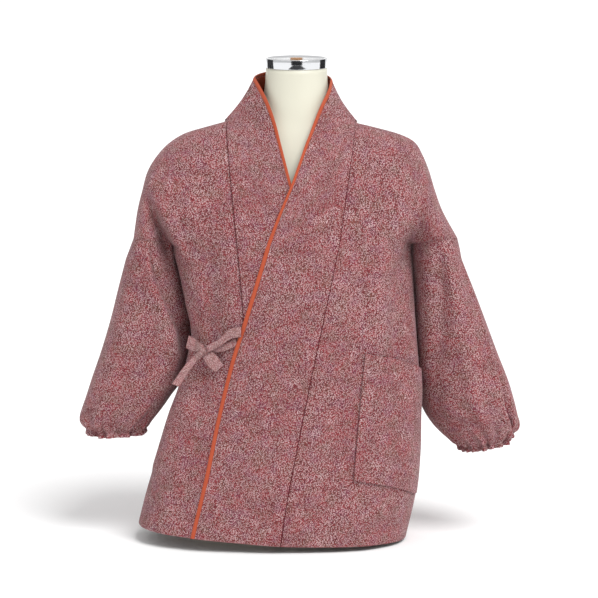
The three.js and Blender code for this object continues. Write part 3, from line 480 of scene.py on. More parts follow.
def cloth_mesh(name, grid, inside, thick=CLOTH, loop=False, shade_marks=None, cut_from=(0, 0)):
    """A sheet on a grid of points in millimetres, made thick outwards, with its flat cut as UV in metres,
    starting at cut_from on the roll, and painted shade along its seams and edges as an attribute."""
    sign = grid_normals(grid, inside, loop)[1]
    if loop:
        grid = np.concatenate([grid, grid[:, :1]], axis=1)
        shade_marks = None if shade_marks is None else np.concatenate([shade_marks, shade_marks[:, :1]], axis=1)
    rows, cols = grid.shape[:2]
    u, v = arc_lengths(grid, 1), arc_lengths(grid, 0)
    v = np.broadcast_to(v.mean(axis=1, keepdims=True), v.shape) * 0.7 + v * 0.3
    index = np.arange(rows * cols).reshape(rows, cols)
    corners = [index[:-1, :-1], index[:-1, 1:], index[1:, 1:], index[1:, :-1]]
    if sign < 0:
        corners.reverse()
    faces = np.stack(corners, axis=-1).reshape(-1, 4)
    mesh = bpy.data.meshes.new(name)
    mesh.from_pydata((grid.reshape(-1, 3) * MM).tolist(), [], faces.tolist())
    flat = mesh.uv_layers.new(name="cut")
    uv = np.stack([u, v], axis=-1).reshape(-1, 2) * MM + np.array(cut_from)
    flat.data.foreach_set("uv", uv[faces.reshape(-1)].ravel())
    # Painted shade: this attribute darkens the cloth along seams and edges, standing for the shadow in the
    # narrow grooves there.
    dark = mesh.attributes.new("dark", "FLOAT", "POINT")
    if shade_marks is not None:
        dark.data.foreach_set("value", np.ascontiguousarray(shade_marks, float).ravel())
    piece = place_mesh(name, mesh)
    if loop:
        bpy.ops.object.mode_set(mode="EDIT")
        bpy.ops.mesh.select_all(action="SELECT")
        bpy.ops.mesh.remove_doubles(threshold=0.00001)
        bpy.ops.object.mode_set(mode="OBJECT")
    thickness = piece.modifiers.new("thickness", "SOLIDIFY")
    thickness.thickness = thick * MM
    thickness.offset = 1.0
    bpy.ops.object.modifier_apply(modifier=thickness.name)
    bpy.ops.object.shade_smooth_by_angle(angle=math.radians(50))
    return piece


def value_node(tree, operation, first, second=0.0):
    node = tree.nodes.new("ShaderNodeMath")
    node.operation = operation
    for socket, value in zip(node.inputs, (first, second)):
        feed(tree, socket, value)
    return node.outputs[0]


def split_node(tree, vector):
    node = tree.nodes.new("ShaderNodeSeparateXYZ")
    tree.links.new(vector, node.inputs[0])
    return node.outputs


TWO_THREADS = 0.0011
WEAVE_HIGH = 0.0003


def weave_group():
    """Height of a plain weave, threads about 0.5 mm apart, from UV in metres."""
    group = bpy.data.node_groups.new("plain_weave", "ShaderNodeTree")
    group.interface.new_socket("Vector", in_out="INPUT", socket_type="NodeSocketVector")
    group.interface.new_socket("Height", in_out="OUTPUT", socket_type="NodeSocketFloat")
    start = group.nodes.new("NodeGroupInput")
    end = group.nodes.new("NodeGroupOutput")
    place = split_node(group, start.outputs["Vector"])
    thread = math.tau / TWO_THREADS
    warp = value_node(group, "SINE", value_node(group, "MULTIPLY", place["X"], thread))
    weft = value_node(group, "SINE", value_node(group, "MULTIPLY", place["Y"], thread))
    slub = noise_node(group, start.outputs["Vector"], 900.0)
    woven = value_node(group, "MULTIPLY", warp, weft)
    group.links.new(value_node(group, "ADD", woven, slub), end.inputs["Height"])
    return group


weave = weave_group()


def add_weave(tree, shader, uv, strength):
    cloth = tree.nodes.new("ShaderNodeGroup")
    cloth.node_tree = weave
    tree.links.new(uv, cloth.inputs["Vector"])
    bump = tree.nodes.new("ShaderNodeBump")
    bump.inputs["Strength"].default_value = strength
    bump.inputs["Distance"].default_value = WEAVE_HIGH
    tree.links.new(cloth.outputs["Height"], bump.inputs["Height"])
    tree.links.new(bump.outputs["Normal"], shader.inputs["Normal"])


FLECK_SPACING = 0.0022
FLECK_LONG = 0.00100
FLECK_WIDE = 0.00046
BURST_SPACING = 0.040
BURST_RADIUS = 0.008
FLECK_LAYERS = ((0.031, 0.35, True), (0.0, 0.1, False), (0.0617, 0.6, False))
ROSE = (0.238, 0.035, 0.041, 1.0)
DEEP_ROSE = (0.165, 0.032, 0.036, 1.0)
MAUVE = (0.19, 0.045, 0.080, 1.0)
MOSS = (0.155, 0.065, 0.045, 1.0)
PALE = (0.62, 0.44, 0.45, 1.0)
ASH = (0.27, 0.16, 0.15, 1.0)
SOOT = (0.050, 0.016, 0.018, 1.0)
# Painted light: the paler rose that stands for light falling on the tie.
TIE_LIT_ROSE = (0.42, 0.27, 0.26, 1.0)
# Painted shade for the grooves along seams, pocket edges and strap edges.
SEAM_SHADE = (0.075, 0.006, 0.011, 1.0)


def vector_node(tree, operation, first, second=None):
    node = tree.nodes.new("ShaderNodeVectorMath")
    node.operation = operation
    tree.links.new(first, node.inputs[0])
    if second is not None:
        feed(tree, node.inputs[1], second)
    return node.outputs["Value" if operation == "LENGTH" else "Vector"]


def cell_node(tree, vector, spacing):
    node = tree.nodes.new("ShaderNodeTexVoronoi")
    node.voronoi_dimensions = "2D"
    node.inputs["Scale"].default_value = 1 / spacing
    tree.links.new(vector, node.inputs["Vector"])
    return node.outputs


def squared_share(tree, value, half):
    share = value_node(tree, "DIVIDE", value, half)
    return value_node(tree, "POWER", value_node(tree, "ABSOLUTE", share), 2.0)


def fleck_layer(tree, uv, shift):
    """Short pale dashes, one to a cell, turned at random but pointing outwards round each burst."""
    slide = (shift, shift * 0.63, 0)
    moved = vector_node(tree, "ADD", uv, slide)
    cells = cell_node(tree, moved, FLECK_SPACING)
    seat = vector_node(tree, "SUBTRACT", cells["Position"], slide)
    spoke = vector_node(tree, "SUBTRACT", seat, cell_node(tree, seat, BURST_SPACING)["Position"])
    way = split_node(tree, spoke)
    radial = value_node(tree, "ARCTAN2", way["Y"], way["X"])
    chance = split_node(tree, cells["Color"])
    loose = value_node(tree, "MULTIPLY", chance["X"], math.pi)
    reach = vector_node(tree, "LENGTH", spoke)
    near = range_node(tree, reach, BURST_RADIUS * 0.9, BURST_RADIUS * 1.1, 1.0, 0.0)
    towards = value_node(tree, "MULTIPLY", near, value_node(tree, "SUBTRACT", radial, loose))
    turned = value_node(tree, "ADD", loose, towards)
    spin = tree.nodes.new("ShaderNodeVectorRotate")
    spin.rotation_type = "Z_AXIS"
    tree.links.new(vector_node(tree, "SUBTRACT", moved, cells["Position"]), spin.inputs["Vector"])
    tree.links.new(value_node(tree, "MULTIPLY", turned, -1.0), spin.inputs["Angle"])
    axes = split_node(tree, spin.outputs[0])
    far = squared_share(tree, axes["X"], FLECK_LONG)
    wide = squared_share(tree, axes["Y"], FLECK_WIDE)
    mask = range_node(tree, value_node(tree, "ADD", far, wide), 0.7, 1.3, 1.0, 0.0)
    return mask, chance["Y"], near


def flecked_cloth(name, painted_light=0.0):
    """Rose cotton in drifting tints under dark and pale dashes, darkened by painted shade along seams and
    edges; for the tie, a paler rose is mixed in as painted light where its straps catch the light.
    """
    material, tree, shader = new_material(name, 0.88)
    uv = tree.nodes.new("ShaderNodeUVMap")
    uv.uv_map = "cut"
    vector = uv.outputs["UV"]
    patches = noise_node(tree, vector, 11.0, 3.0)
    bloom = noise_node(tree, vector, 38.0, 3.0)
    tint = noise_node(tree, vector, 47.0, 2.0)
    colour = mix_colour(tree, range_node(tree, bloom, 0.35, 0.65), DEEP_ROSE, ROSE)
    colour = mix_colour(tree, range_node(tree, tint, 0.52, 0.66, 0.0, 0.6), colour, MAUVE)
    colour = mix_colour(tree, range_node(tree, tint, 0.48, 0.34, 0.0, 0.5), colour, MOSS)
    for shift, keep, dark in FLECK_LAYERS:
        mask, chance, near = fleck_layer(tree, vector, shift)
        there = value_node(tree, "MULTIPLY", mask, range_node(tree, chance, keep - 0.01, keep + 0.01))
        if dark:
            colour = mix_colour(tree, there, colour, SOOT)
        else:
            rich = range_node(tree, patches, 0.3, 0.7, 0.6, 0.9)
            strength = value_node(tree, "MULTIPLY", there, value_node(tree, "MAXIMUM", rich, near))
            colour = mix_colour(tree, strength, colour, mix_colour(tree, chance, ASH, PALE))
    # Painted light: the tie is the same cloth, mixed towards a paler rose where its straps catch the light.
    if painted_light:
        colour = mix_colour(tree, painted_light, colour, TIE_LIT_ROSE)
    # Painted shade: the cloth is darkened towards SEAM_SHADE where the mesh's attribute marks a seam or
    # edge.
    seam_shade_node = tree.nodes.new("ShaderNodeAttribute")
    seam_shade_node.attribute_name = "dark"
    colour = mix_colour(tree, seam_shade_node.outputs["Fac"], colour, SEAM_SHADE)
    tree.links.new(colour, shader.inputs["Base Color"])
    shader.inputs["Specular IOR Level"].default_value = 0.2
    shader.inputs["Sheen Weight"].default_value = 0.12
    shader.inputs["Sheen Roughness"].default_value = 0.5
    add_weave(tree, shader, vector, 0.35)
    return material


cloth_material = flecked_cloth("flecked_cloth")

FRONT_ROWS = 150
FRONT_COLUMNS = 64


def front_grid(side):
    """From the band to the side; the first columns lie under the band."""
    up = np.linspace(0, 2, FRONT_ROWS)[:, None]
    along = np.linspace(1, 0, FRONT_COLUMNS)[None, :]
    up, along = np.broadcast_arrays(up, along)
    grid = front_point(side, along, up)
    to_edge = edge_point(side, up[:, 0]) - grid[:, 0]
    to_edge /= np.linalg.norm(to_edge, axis=-1, keepdims=True)
    grid = np.concatenate([(grid[:, 0] + to_edge * LAP)[:, None], grid], axis=1)
    up = np.concatenate([up[:, :1], up], axis=1)
    along = np.concatenate([np.ones((FRONT_ROWS, 1)), along], axis=1)
    fade = ease(2 - up, 0, 0.5) * ease(along, 0, 0.2)
    grid = moved_out(grid, MIDDLE, fold(FOLDS, grid[..., 0], grid[..., 2]) * fade)
    over_sleeve = ease(up, 1, 1.25)
    share = ease(2 - up, 0, 0.4) * (1 - (1 - ease(along, 0, 0.2)) * (1 - over_sleeve))
    grid = creased(grid, FRONT_CREASES, share)
    if side == "left":
        lift = overlap(grid) * ease(2 - up, 0, 0.5) * ease(along, 0, 0.3)
        grid = moved_out(grid, MIDDLE, lift)
    grid[-1, :, 1] -= GAP / 2
    grid[up[:, 0] <= 1, -1, 1] -= GAP / 2
    return grid


FRONT_ON_ROLL = {"right": (0.0, 0.0), "left": (0.41, 0.13)}
for side in ("right", "left"):
    piece = cloth_mesh(f"front_{side}_cloth", front_grid(side), MIDDLE, cut_from=FRONT_ON_ROLL[side])
    finish_piece(piece, [f"front_{side}"], cloth_material)


# Back: one cotton panel from side to side, sewn to the fronts at the sides and along the shoulder line
# and to the sleeves below it. The same kind of grid, with its own hanging folds.
BACK_FOLDS = {
    "x1": [-205, 190, -120, -40, 50, 125],
    "z1": [560, 560, 420, 380, 420, 400],
    "x2": [-170, 170, -150, -50, 40, 120],
    "z2": [380, 380, 40, 40, 30, 30],
    "wide": [16, 16, 20, 22, 20, 18],
    "high": [6, 6, 6, -5, 5, -5],
}
BACK_CREASES = {
    "x1": [-150, -95, -10, 75, 150, -175, 165, -60, 60],
    "z1": [590, 480, 500, 470, 580, 340, 360, 600, 600],
    "x2": [-165, -80, -5, 85, 160, -215, 155, -30, 35],
    "z2": [430, 300, 330, 320, 440, 150, 150, 540, 545],
    "wide": [10, 12, 14, 10, 10, 10, 9, 12, 12],
    "high": [-4.5, 3.4, -3, 3.2, -4.5, 4, 3.4, -2.4, -2.4],
}
NECK_BACK = {"seam": {"depth": 64.0, "rise": 13.0}, "edge": {"depth": 59.0, "rise": 11.0}}
BACK_ROWS = 150
HALF_BACK = 48
NECK_COLUMNS = 20
NECK_SHARE = 0.31


def neck_back(side, which, share):
    """Half of a ring round the back of the neck, from the side (0) to the centre back (1)."""
    if which == "seam":
        ends = [shoulder_point(end, 1.0) for end in ("right", "left")]
    else:
        ends = [edge_point(end, np.array(2.0)) for end in ("right", "left")]
    turn = (math.pi - share * TURN) if side == "right" else share * TURN
    own = ends[0] if side == "right" else ends[1]
    middle, half = (ends[0][0] + ends[1][0]) / 2, (ends[1][0] - ends[0][0]) / 2
    level = mix(own[2], (ends[0][2] + ends[1][2]) / 2, share)
    ring = NECK_BACK[which]
    behind = np.sin(turn)
    return points(
        middle + half * np.cos(turn), own[1] + ring["depth"] * behind, level + ring["rise"] * behind
    )


def back_grid():
    along = np.linspace(0, 1, HALF_BACK)
    round_neck = np.linspace(0, 1, NECK_COLUMNS)[1:]
    halves = []
    for side in ("right", "left"):
        top = np.concatenate([shoulder_point(side, along), neck_back(side, "seam", round_neck)])
        place = np.concatenate([along, np.ones(NECK_COLUMNS - 1)])
        turn = np.concatenate([along * NECK_SHARE, mix(NECK_SHARE, 0.5, round_neck)])
        halves.append((top, place, turn if side == "right" else 1 - turn))
    top, place, turn = (np.concatenate([right, left[::-1][1:]]) for right, left in zip(*halves))
    up = np.linspace(0, 2, BACK_ROWS)[:, None]
    low = body_point(turn[None, :] * math.pi, np.minimum(1, up), "back")
    stand = np.where(top[:, 1] > CREST_Y + 0.01, 0, np.maximum(0, puff(place)))
    square = mix(1, 0.62, ease(place, 0, 0.9))
    high = rise_point(low, np.broadcast_to(top, low.shape), TURN * (2 - up), stand, flare_at(place), square)
    grid = np.where((up <= 1)[..., None], low, high)
    step = np.minimum(np.arange(len(top)), len(top) - 1 - np.arange(len(top)))
    fade = ease(2 - up, 0, 0.5) * ease(step / HALF_BACK, 0, 0.2)
    grid = moved_out(grid, MIDDLE, fold(BACK_FOLDS, grid[..., 0], grid[..., 2]) * fade)
    over_sleeve = ease(up, 1, 1.25)
    share = ease(2 - up, 0, 0.4) * (1 - (1 - ease(step / HALF_BACK, 0, 0.2)) * (1 - over_sleeve))
    grid = creased(grid, BACK_CREASES, share, forward=1.0)
    grid[-1, step < HALF_BACK, 1] += GAP / 2
    below = up[:, 0] < 1
    for column in (0, -1):
        grid[below, column, 1] += GAP / 2
    return grid


back = cloth_mesh("back_cloth", back_grid(), MIDDLE, cut_from=(0.9, 0.31))
finish_piece(back, ["back"], cloth_material)


# Bands: one deep folded strip down each front edge, joined at the centre back where it stands up as the
# collar. Each follows its front's seam and the free edge, and lies on the front along the seam, where a thin
# line of painted shade stands for the shadow in the narrow groove there.
BAND_START = 2.5
BACK_START = 1.6
NECK_SAG = 4.0
BAND_ROWS = 150
COLLAR_ROWS = 46
BAND_COLUMNS = 26
SEAM_SHADE_WIDTH = 1.3


def band_grid(side, columns, from_up=0.0):
    """Rows run from the hem up the front, then round the neck to the centre back. Returns the grid and
    each row's place: up to 2 on the front, then 2 to 3 round the neck."""
    front_rows = np.linspace(from_up, 2, BAND_ROWS if from_up == 0 else 24)
    neck_rows = np.linspace(0, 1, COLLAR_ROWS)[1:]
    up = np.concatenate([front_rows, 2 + neck_rows])
    seam = np.concatenate([front_point(side, np.array(1.0), front_rows), neck_back(side, "seam", neck_rows)])
    edge = np.concatenate([edge_point(side, front_rows), neck_back(side, "edge", neck_rows)])
    start = np.where(up <= 2, BAND_START + 2.5 * ease(up, 1.75, 2), BACK_START)
    start = start / np.linalg.norm(seam - edge, axis=-1)
    k = mix(start[:, None], 1.0, np.asarray(columns)[None, :])
    grid = seam[:, None] + (edge - seam)[:, None] * k[..., None]
    sag = NECK_SAG * ease(up, 1.62, 2) * (1 - ease(up - 2, 0, 0.8))
    grid[..., 0] += (1 if side == "right" else -1) * sag[:, None] * np.sin(math.pi * k)
    level = up <= 1
    grid[level, :, 1] = body_depth(grid[level, :, 0], grid[level, :, 2], "front")
    grid[~level, :, 1] -= 5 * np.maximum(0, 2 - up[~level])[:, None] * np.sin(math.pi * k[~level])
    grid = moved_out(grid, MIDDLE, fold(FOLDS, grid[..., 0], grid[..., 2]))
    grid = creased(grid, FRONT_CREASES, ease(2 - up, 0, 0.4)[:, None])
    grid[-1, :, 0] += (-1 if side == "right" else 1) * GAP / 2
    return grid, up


def band_lift(side, grid, up, columns):
    at_seam = mix(BAND_LIFT, GAP, ease(up, 2, 2.14))[:, None]
    own = mix(at_seam, 0.4, np.asarray(columns)[None, :])
    return own + (overlap(grid) * (up <= 2)[:, None] if side == "left" else 0)


BAND_ON_ROLL = {"right": (1.7, 0.05), "left": (2.0, 0.37)}
columns = np.concatenate([[0, SEAM_SHADE_WIDTH / 140, SEAM_SHADE_WIDTH / 110], np.linspace(0, 1, BAND_COLUMNS)[1:]])
for side in ("right", "left"):
    grid, up = band_grid(side, columns)
    grid = moved_out(grid, MIDDLE, band_lift(side, grid, up, columns))
    shade_marks = np.zeros(grid.shape[:2])
    # Painted shade along the seam where the band lies on the front.
    shade_marks[:, :2] = 1.0
    piece = cloth_mesh(f"band_{side}_cloth", grid, MIDDLE, shade_marks=shade_marks, cut_from=BAND_ON_ROLL[side])
    finish_piece(piece, [f"band_{side}"], cloth_material)


# Piping and collar facing: a folded strip of plain orange cotton sewn along the free edge of each band,
# and the orange cloth that lines the collar behind the neck.
PIPING_WIDE = 6.6
PIPING_THICK = 2.2
PIPING_SIDES = 16

orange_material, tree, shader = new_material("orange_cotton", 0.75)
uv = tree.nodes.new("ShaderNodeUVMap")
uv.uv_map = "cut"
fade = noise_node(tree, uv.outputs["UV"], 60.0)
ORANGE = (0.38, 0.050, 0.013, 1.0)
PALE_ORANGE = (0.45, 0.070, 0.020, 1.0)
tree.links.new(mix_colour(tree, fade, ORANGE, PALE_ORANGE), shader.inputs["Base Color"])
shader.inputs["Sheen Weight"].default_value = 0.1
add_weave(tree, shader, uv.outputs["UV"], 0.3)


def rod_mesh(name, rings, caps=True):
    """A closed rod through rings of points in millimetres, with its ends filled."""
    rows, cols = rings.shape[:2]
    index = np.arange(rows * cols).reshape(rows, cols)
    following = np.roll(index, -1, axis=1)
    faces = np.stack([index[:-1], following[:-1], following[1:], index[1:]], axis=-1).reshape(-1, 4).tolist()
    ends = [index[0].tolist()[::-1], index[-1].tolist()]
    mesh = bpy.data.meshes.new(name)
    mesh.from_pydata((rings.reshape(-1, 3) * MM).tolist(), [], faces + (ends if caps else []))
    flat = mesh.uv_layers.new(name="cut")
    length = arc_lengths(rings, 0)
    girth = np.linspace(0, 1, cols, endpoint=False) * np.linalg.norm(rings[0, 0] - rings[0, cols // 2]) * 2
    uv = np.stack([np.broadcast_to(girth, length.shape), length], axis=-1).reshape(-1, 2) * MM
    loops = np.array([loop.vertex_index for loop in mesh.loops])
    flat.data.foreach_set("uv", uv[loops].ravel())
    piece = place_mesh(name, mesh)
    bpy.ops.object.mode_set(mode="EDIT")
    bpy.ops.mesh.select_all(action="SELECT")
    bpy.ops.mesh.normals_make_consistent(inside=False)
    bpy.ops.object.mode_set(mode="OBJECT")
    bpy.ops.object.shade_smooth_by_angle(angle=math.radians(60))
    return piece


for side in ("right", "left"):
    grid, up = band_grid(side, columns)
    out = grid_normals(grid, MIDDLE)[0][:, -1]
    edge = grid[:, -1]
    across = edge - grid[:, -2]
    across /= np.linalg.norm(across, axis=-1, keepdims=True)
    lift = band_lift(side, grid, up, columns)[:, -1] + CLOTH / 2
    middle = edge + across * (PIPING_WIDE / 2 + GAP) + out * lift[:, None]
    turn = np.linspace(0, math.tau, PIPING_SIDES, endpoint=False)
    flat_round = np.sign(np.cos(turn)) * np.abs(np.cos(turn)) ** 0.8
    section = across[:, None] * (flat_round * PIPING_WIDE / 2)[None, :, None]
    section = section + out[:, None] * (np.sin(turn) * PIPING_THICK / 2)[None, :, None]
    piece = rod_mesh(f"piping_{side}_cord", middle[:, None] + section)
    finish_piece(piece, [f"piping_{side}"], orange_material)

UNDER_BAND = 1.3
facing_columns = np.linspace(0.3, 1, 14)
halves = [band_grid(side, facing_columns, from_up=1.75)[0] for side in ("right", "left")]
facing_grid = np.concatenate([halves[0], halves[1][::-1][1:]])
under = np.full(facing_grid.shape[:2], -UNDER_BAND) - 0.15 * (facing_columns - 0.3)[None, :]
facing_grid = moved_out(facing_grid, MIDDLE, under)
facing = cloth_mesh("collar_facing_cloth", facing_grid, MIDDLE, thick=1.0)
finish_piece(facing, ["collar_facing"], orange_material)


# Sleeves: wide tubes sewn to the body over the upper arm and drawn in at the wrist by elastic in a hem.
# Rings between an outer and an inner end, with uneven gathers that die out up the arm.
SLEEVE = {
    "right": {
        "row": [0, 1, 2, 3, 4, 5, 6, 7, 8, 9, 10, 11],
        "zo": [436, 436, 389, 339, 290, 250, 222, 203, 190, 179, 169, 159],
        "xo": [-262, -262, -275, -288, -303, -317, -326, -332, -335, -334, -327, -325],
        "zi": [434, 434, 382, 330, 285, 248, 222, 205, 191, 180, 170, 161],
        "xi": [-184, -184, -170, -160, -163, -177, -196, -208, -219, -228, -234, -237],
        "mid": [7, 7, 15, 17, 17, 16, 14, 12, 11, 10, 9, 9],
        "deep": [80, 80, 83, 81, 78, 73, 67, 62, 57, 52, 47, 46],
    },
    "left": {
        "row": [0, 1, 2, 3, 4, 5, 6, 7, 8, 9, 10, 11],
        "zo": [436, 436, 389, 339, 289, 245, 215, 195, 180, 168, 158, 149],
        "xo": [255, 255, 274, 293, 312, 329, 338, 343, 346, 344, 338, 335],
        "zi": [434, 434, 380, 325, 270, 222, 195, 177, 163, 152, 143, 134],
        "xi": [177.5, 177.5, 178.5, 182, 187, 191, 200, 213, 228, 242, 252, 258],
        "mid": [7, 7, 15, 17, 17, 16, 14, 12, 11, 10, 9, 9],
        "deep": [80, 80, 83, 81, 78, 74, 69, 63, 57, 52, 47, 46],
    },
}
ARMHOLE_Y = -3.0
UNDERARM_CLEAR = 1.6
SLEEVE_ROWS = 150
SLEEVE_STEPS = 180
# Long creases down the sleeves as seen from the front, by place across (-1 inner to 1 outer end) and row.
SLEEVE_CREASES = {
    "right": {
        "a1": [-0.55, 0.25, -0.6, 0.5, -0.1, -0.35],
        "r1": [0.4, 2.0, 3.0, 5.0, 4.5, 1.0],
        "a2": [-0.90, 0.15, -0.5, 0.45, -0.05, -0.5],
        "r2": [3.2, 6.0, 8.0, 10.5, 10.5, 3.5],
        "wide": [0.10, 0.22, 0.14, 0.08, 0.08, 0.1],
        "high": [-11, -3, 3.5, 2.5, -3, 5],
    },
    "left": {
        "a1": [-0.40, 0.05, 0.97, 0.80, 0.86, 0.67, 0.1, 0.4],
        "r1": [2.0, 0.4, 2.3, 7.0, 2.3, 7.0, 5.0, 6.0],
        "a2": [-0.80, 0.15, 0.80, 0.88, 0.67, 0.75, 0.2, 0.3],
        "r2": [6.2, 6.0, 7.0, 10.2, 7.0, 10.2, 10.5, 10.5],
        "wide": [0.18, 0.18, 0.06, 0.06, 0.05, 0.05, 0.08, 0.06],
        "high": [-6, 5, -15, -12, 5, 4, 3, -3],
    },
}
SLEEVE_SQUARE = 2.7
GATHER_WAVES = (5, 9, 13, 19, 26)
GATHER_SHARE = 0.055
TUCK_FORWARD = 10
TUCK_INWARD = 2
CASING_DEEP = 2.2
FRILL_HIGH = 0.8
FRILL_WAVES = 23


def armhole(side, turn):
    """The sleeve seam: round the front of the arm from its outer end to the underarm and back behind."""
    front = turn <= math.pi
    climb = np.where(front, turn, math.tau - turn) / 2
    low = body_point(np.full_like(turn, 0.0 if side == "right" else math.pi), 1.0, "front")
    top = np.broadcast_to(shoulder_point(side, 0.0), low.shape)
    p = rise_point(low, top, climb, np.where(front, -1, 1) * puff(0), flare_at(np.zeros_like(turn)))
    p[..., 0] += (-1 if side == "right" else 1) * UNDERARM_CLEAR * np.sin(climb) ** 12
    p[..., 2] -= GAP
    share = ease(2 - climb / TURN, 1, 1.25) * ease(climb / TURN, 0, 0.4)
    for table, face, forward in ((FRONT_CREASES, front, -1.0), (BACK_CREASES, ~front, 1.0)):
        p = creased(p, table, share * face, forward)
    return p


def sleeve_grid(side, random):
    row = np.linspace(0, 11, SLEEVE_ROWS)[:, None]
    turn = np.linspace(0, math.tau, SLEEVE_STEPS, endpoint=False)[None, :]
    row, turn = np.broadcast_arrays(row, turn)
    top = armhole(side, turn)
    lower = np.maximum(row, 1)
    table = {c: read(SLEEVE[side], "row", lower, c) for c in ("zo", "xo", "zi", "xi", "mid", "deep")}
    outer, under = armhole(side, np.array(0.0))[0], armhole(side, np.array(math.pi))[0]
    seam_like = np.clip(1 - lower / 4, 0, 1)
    pull = ease(row, 5, 11) ** 1.5
    gathers = np.zeros_like(turn)
    for waves in GATHER_WAVES:
        gathers = gathers + random.uniform(0.5, 1) * np.cos(waves * turn + random.uniform(0, math.tau))
    ripple = 1 + GATHER_SHARE * pull * gathers
    power = 2 / mix(2.0, SLEEVE_SQUARE, 1 - ease(row, 6, 10))
    wide_share = np.sign(np.cos(turn)) * np.abs(np.cos(turn)) ** power
    deep_share = np.sign(np.sin(turn)) * np.abs(np.sin(turn)) ** power
    across = mix(wide_share * ripple, (2 * (top[..., 0] - under)) / (outer - under) - 1, seam_like)
    ahead = mix(deep_share * ripple, (ARMHOLE_Y - top[..., 1]) / puff(0), seam_like)
    middle = points((table["xo"] + table["xi"]) / 2, table["mid"], (table["zo"] + table["zi"]) / 2)
    arm = points((table["xo"] - table["xi"]) / 2, 0, (table["zo"] - table["zi"]) / 2)
    grid = middle + arm * across[..., None]
    grid[..., 1] = table["mid"] - table["deep"] * ahead
    grid = mix(top, grid, np.clip(row, 0, 1)[..., None])
    centre = np.array([-255.0 if side == "right" else 255.0, CREST_Y, 300.0])
    out = grid_normals(grid, centre, loop=True)[0]
    front = ease(np.sin(turn), -0.2, 0.5)
    creases = np.zeros_like(turn)
    for a1, r1, a2, r2, wide, high in zip(*SLEEVE_CREASES[side].values()):
        k = np.clip((row - r1) / (r2 - r1), 0, 1)
        near = ((wide_share - mix(a1, a2, k)) / wide) ** 2 + ((row - np.clip(row, r1, r2)) / 0.8) ** 2
        creases = creases + high * np.exp(-near / 2)
    back = 3.0 * np.cos(3 * turn + 0.08 * row * row) * ease(-np.sin(turn), 0, 0.5) * ease(row, 1, 3)
    tuck = np.exp(-(((wide_share + 0.9) / 0.3) ** 2)) * front * ease(row, 0, 1) * (1 - ease(row, 3, 5))
    grid[..., 1] -= TUCK_FORWARD * tuck
    grid[..., 0] += (TUCK_INWARD if side == "right" else -TUCK_INWARD) * tuck
    hold = ease(row, 0, 1.2) * (1 - 0.5 * ease(row, 9, 11))
    grid = grid + out * ((creases * front + back) * hold)[..., None]
    casing = CASING_DEEP * ease(row, 9.6, 10.2) * (1 - ease(row, 10.3, 10.9))
    frill = FRILL_HIGH * ease(row, 10.5, 11) * np.cos(FRILL_WAVES * turn + 2 * np.sin(3 * turn))
    grid = grid - out * casing[..., None] + out * frill[..., None]
    return grid, centre


SLEEVE_SEAM_SHADE = {"right": 0.5, "left": 0.2}
random = np.random.default_rng(7)
for side in ("right", "left"):
    grid, centre = sleeve_grid(side, random)
    shade_marks = np.zeros(grid.shape[:2])
    # Painted shade along the top of the sleeve, at its seam to the body.
    shade_marks[0] = SLEEVE_SEAM_SHADE[side]
    on_roll = (2.4 if side == "right" else 3.1, 0.2)
    piece = cloth_mesh(f"sleeve_{side}_cloth", grid, centre, loop=True, shade_marks=shade_marks, cut_from=on_roll)
    finish_piece(piece, [f"sleeve_{side}"], cloth_material)


# Patch pocket: a square of the same cloth sewn to the left front on three sides, its top edge gaping a
# little. Made from the front's own surface, moved out.
POCKET = {
    "across": [0, 0.25, 0.5, 0.75, 1],
    "low": [112, 103, 93, 82, 78],
    "high": [304, 296, 287, 276, 268],
}
POCKET_BOTTOM_LEFT = 85.0
POCKET_TOP_LEFT = 103.0
POCKET_SIDE_TURN = 0.03
POCKET_SHADE_LINE = 0.007
POCKET_GAPE = 9
POCKET_BELLY = 1.5
POCKET_EDGE_LIFT = 1.1

share = np.concatenate([[0, POCKET_SHADE_LINE], np.linspace(0, 1, 56)[1:]])[:, None]
across = np.concatenate([[0, POCKET_SHADE_LINE], np.linspace(0, 1, 40)[1:-1], [1 - POCKET_SHADE_LINE, 1]])[None, :]
share, across = np.broadcast_arrays(share, across)
z = mix(read(POCKET, "across", across, "low"), read(POCKET, "across", across, "high"), share)
left_turn = turn_at(mix(POCKET_BOTTOM_LEFT, POCKET_TOP_LEFT, share), z)
turn = mix(left_turn, math.pi - POCKET_SIDE_TURN, across)
grid = body_point(turn, (z - 10) / (UNDERARM_Z - 10), "front")
grid = moved_out(grid, MIDDLE, fold(FOLDS, grid[..., 0], grid[..., 2]))
grid = creased(grid, FRONT_CREASES, 1.0)
gape = POCKET_GAPE * np.sin(math.pi * np.minimum(1, across * 1.05)) * ease(share * 8, 3, 8)
belly = POCKET_BELLY * np.sin(math.pi * across) * ease(share * 8, 0, 4)
edge_lift = POCKET_EDGE_LIFT * (1 - ease(across * 8, 3, 8))
lift = CLOTH + GAP + overlap(grid) + edge_lift + gape + belly
shade_marks = np.zeros(grid.shape[:2])
# Painted shade along the pocket's three sewn edges.
shade_marks[0, :] = 0.8
shade_marks[:, 0] = 0.8
shade_marks[:, -1] = 0.4
pocket = cloth_mesh("pocket_cloth", moved_out(grid, MIDDLE, lift), MIDDLE, shade_marks=shade_marks, cut_from=(3.8, 0))
finish_piece(pocket, ["pocket"], cloth_material)


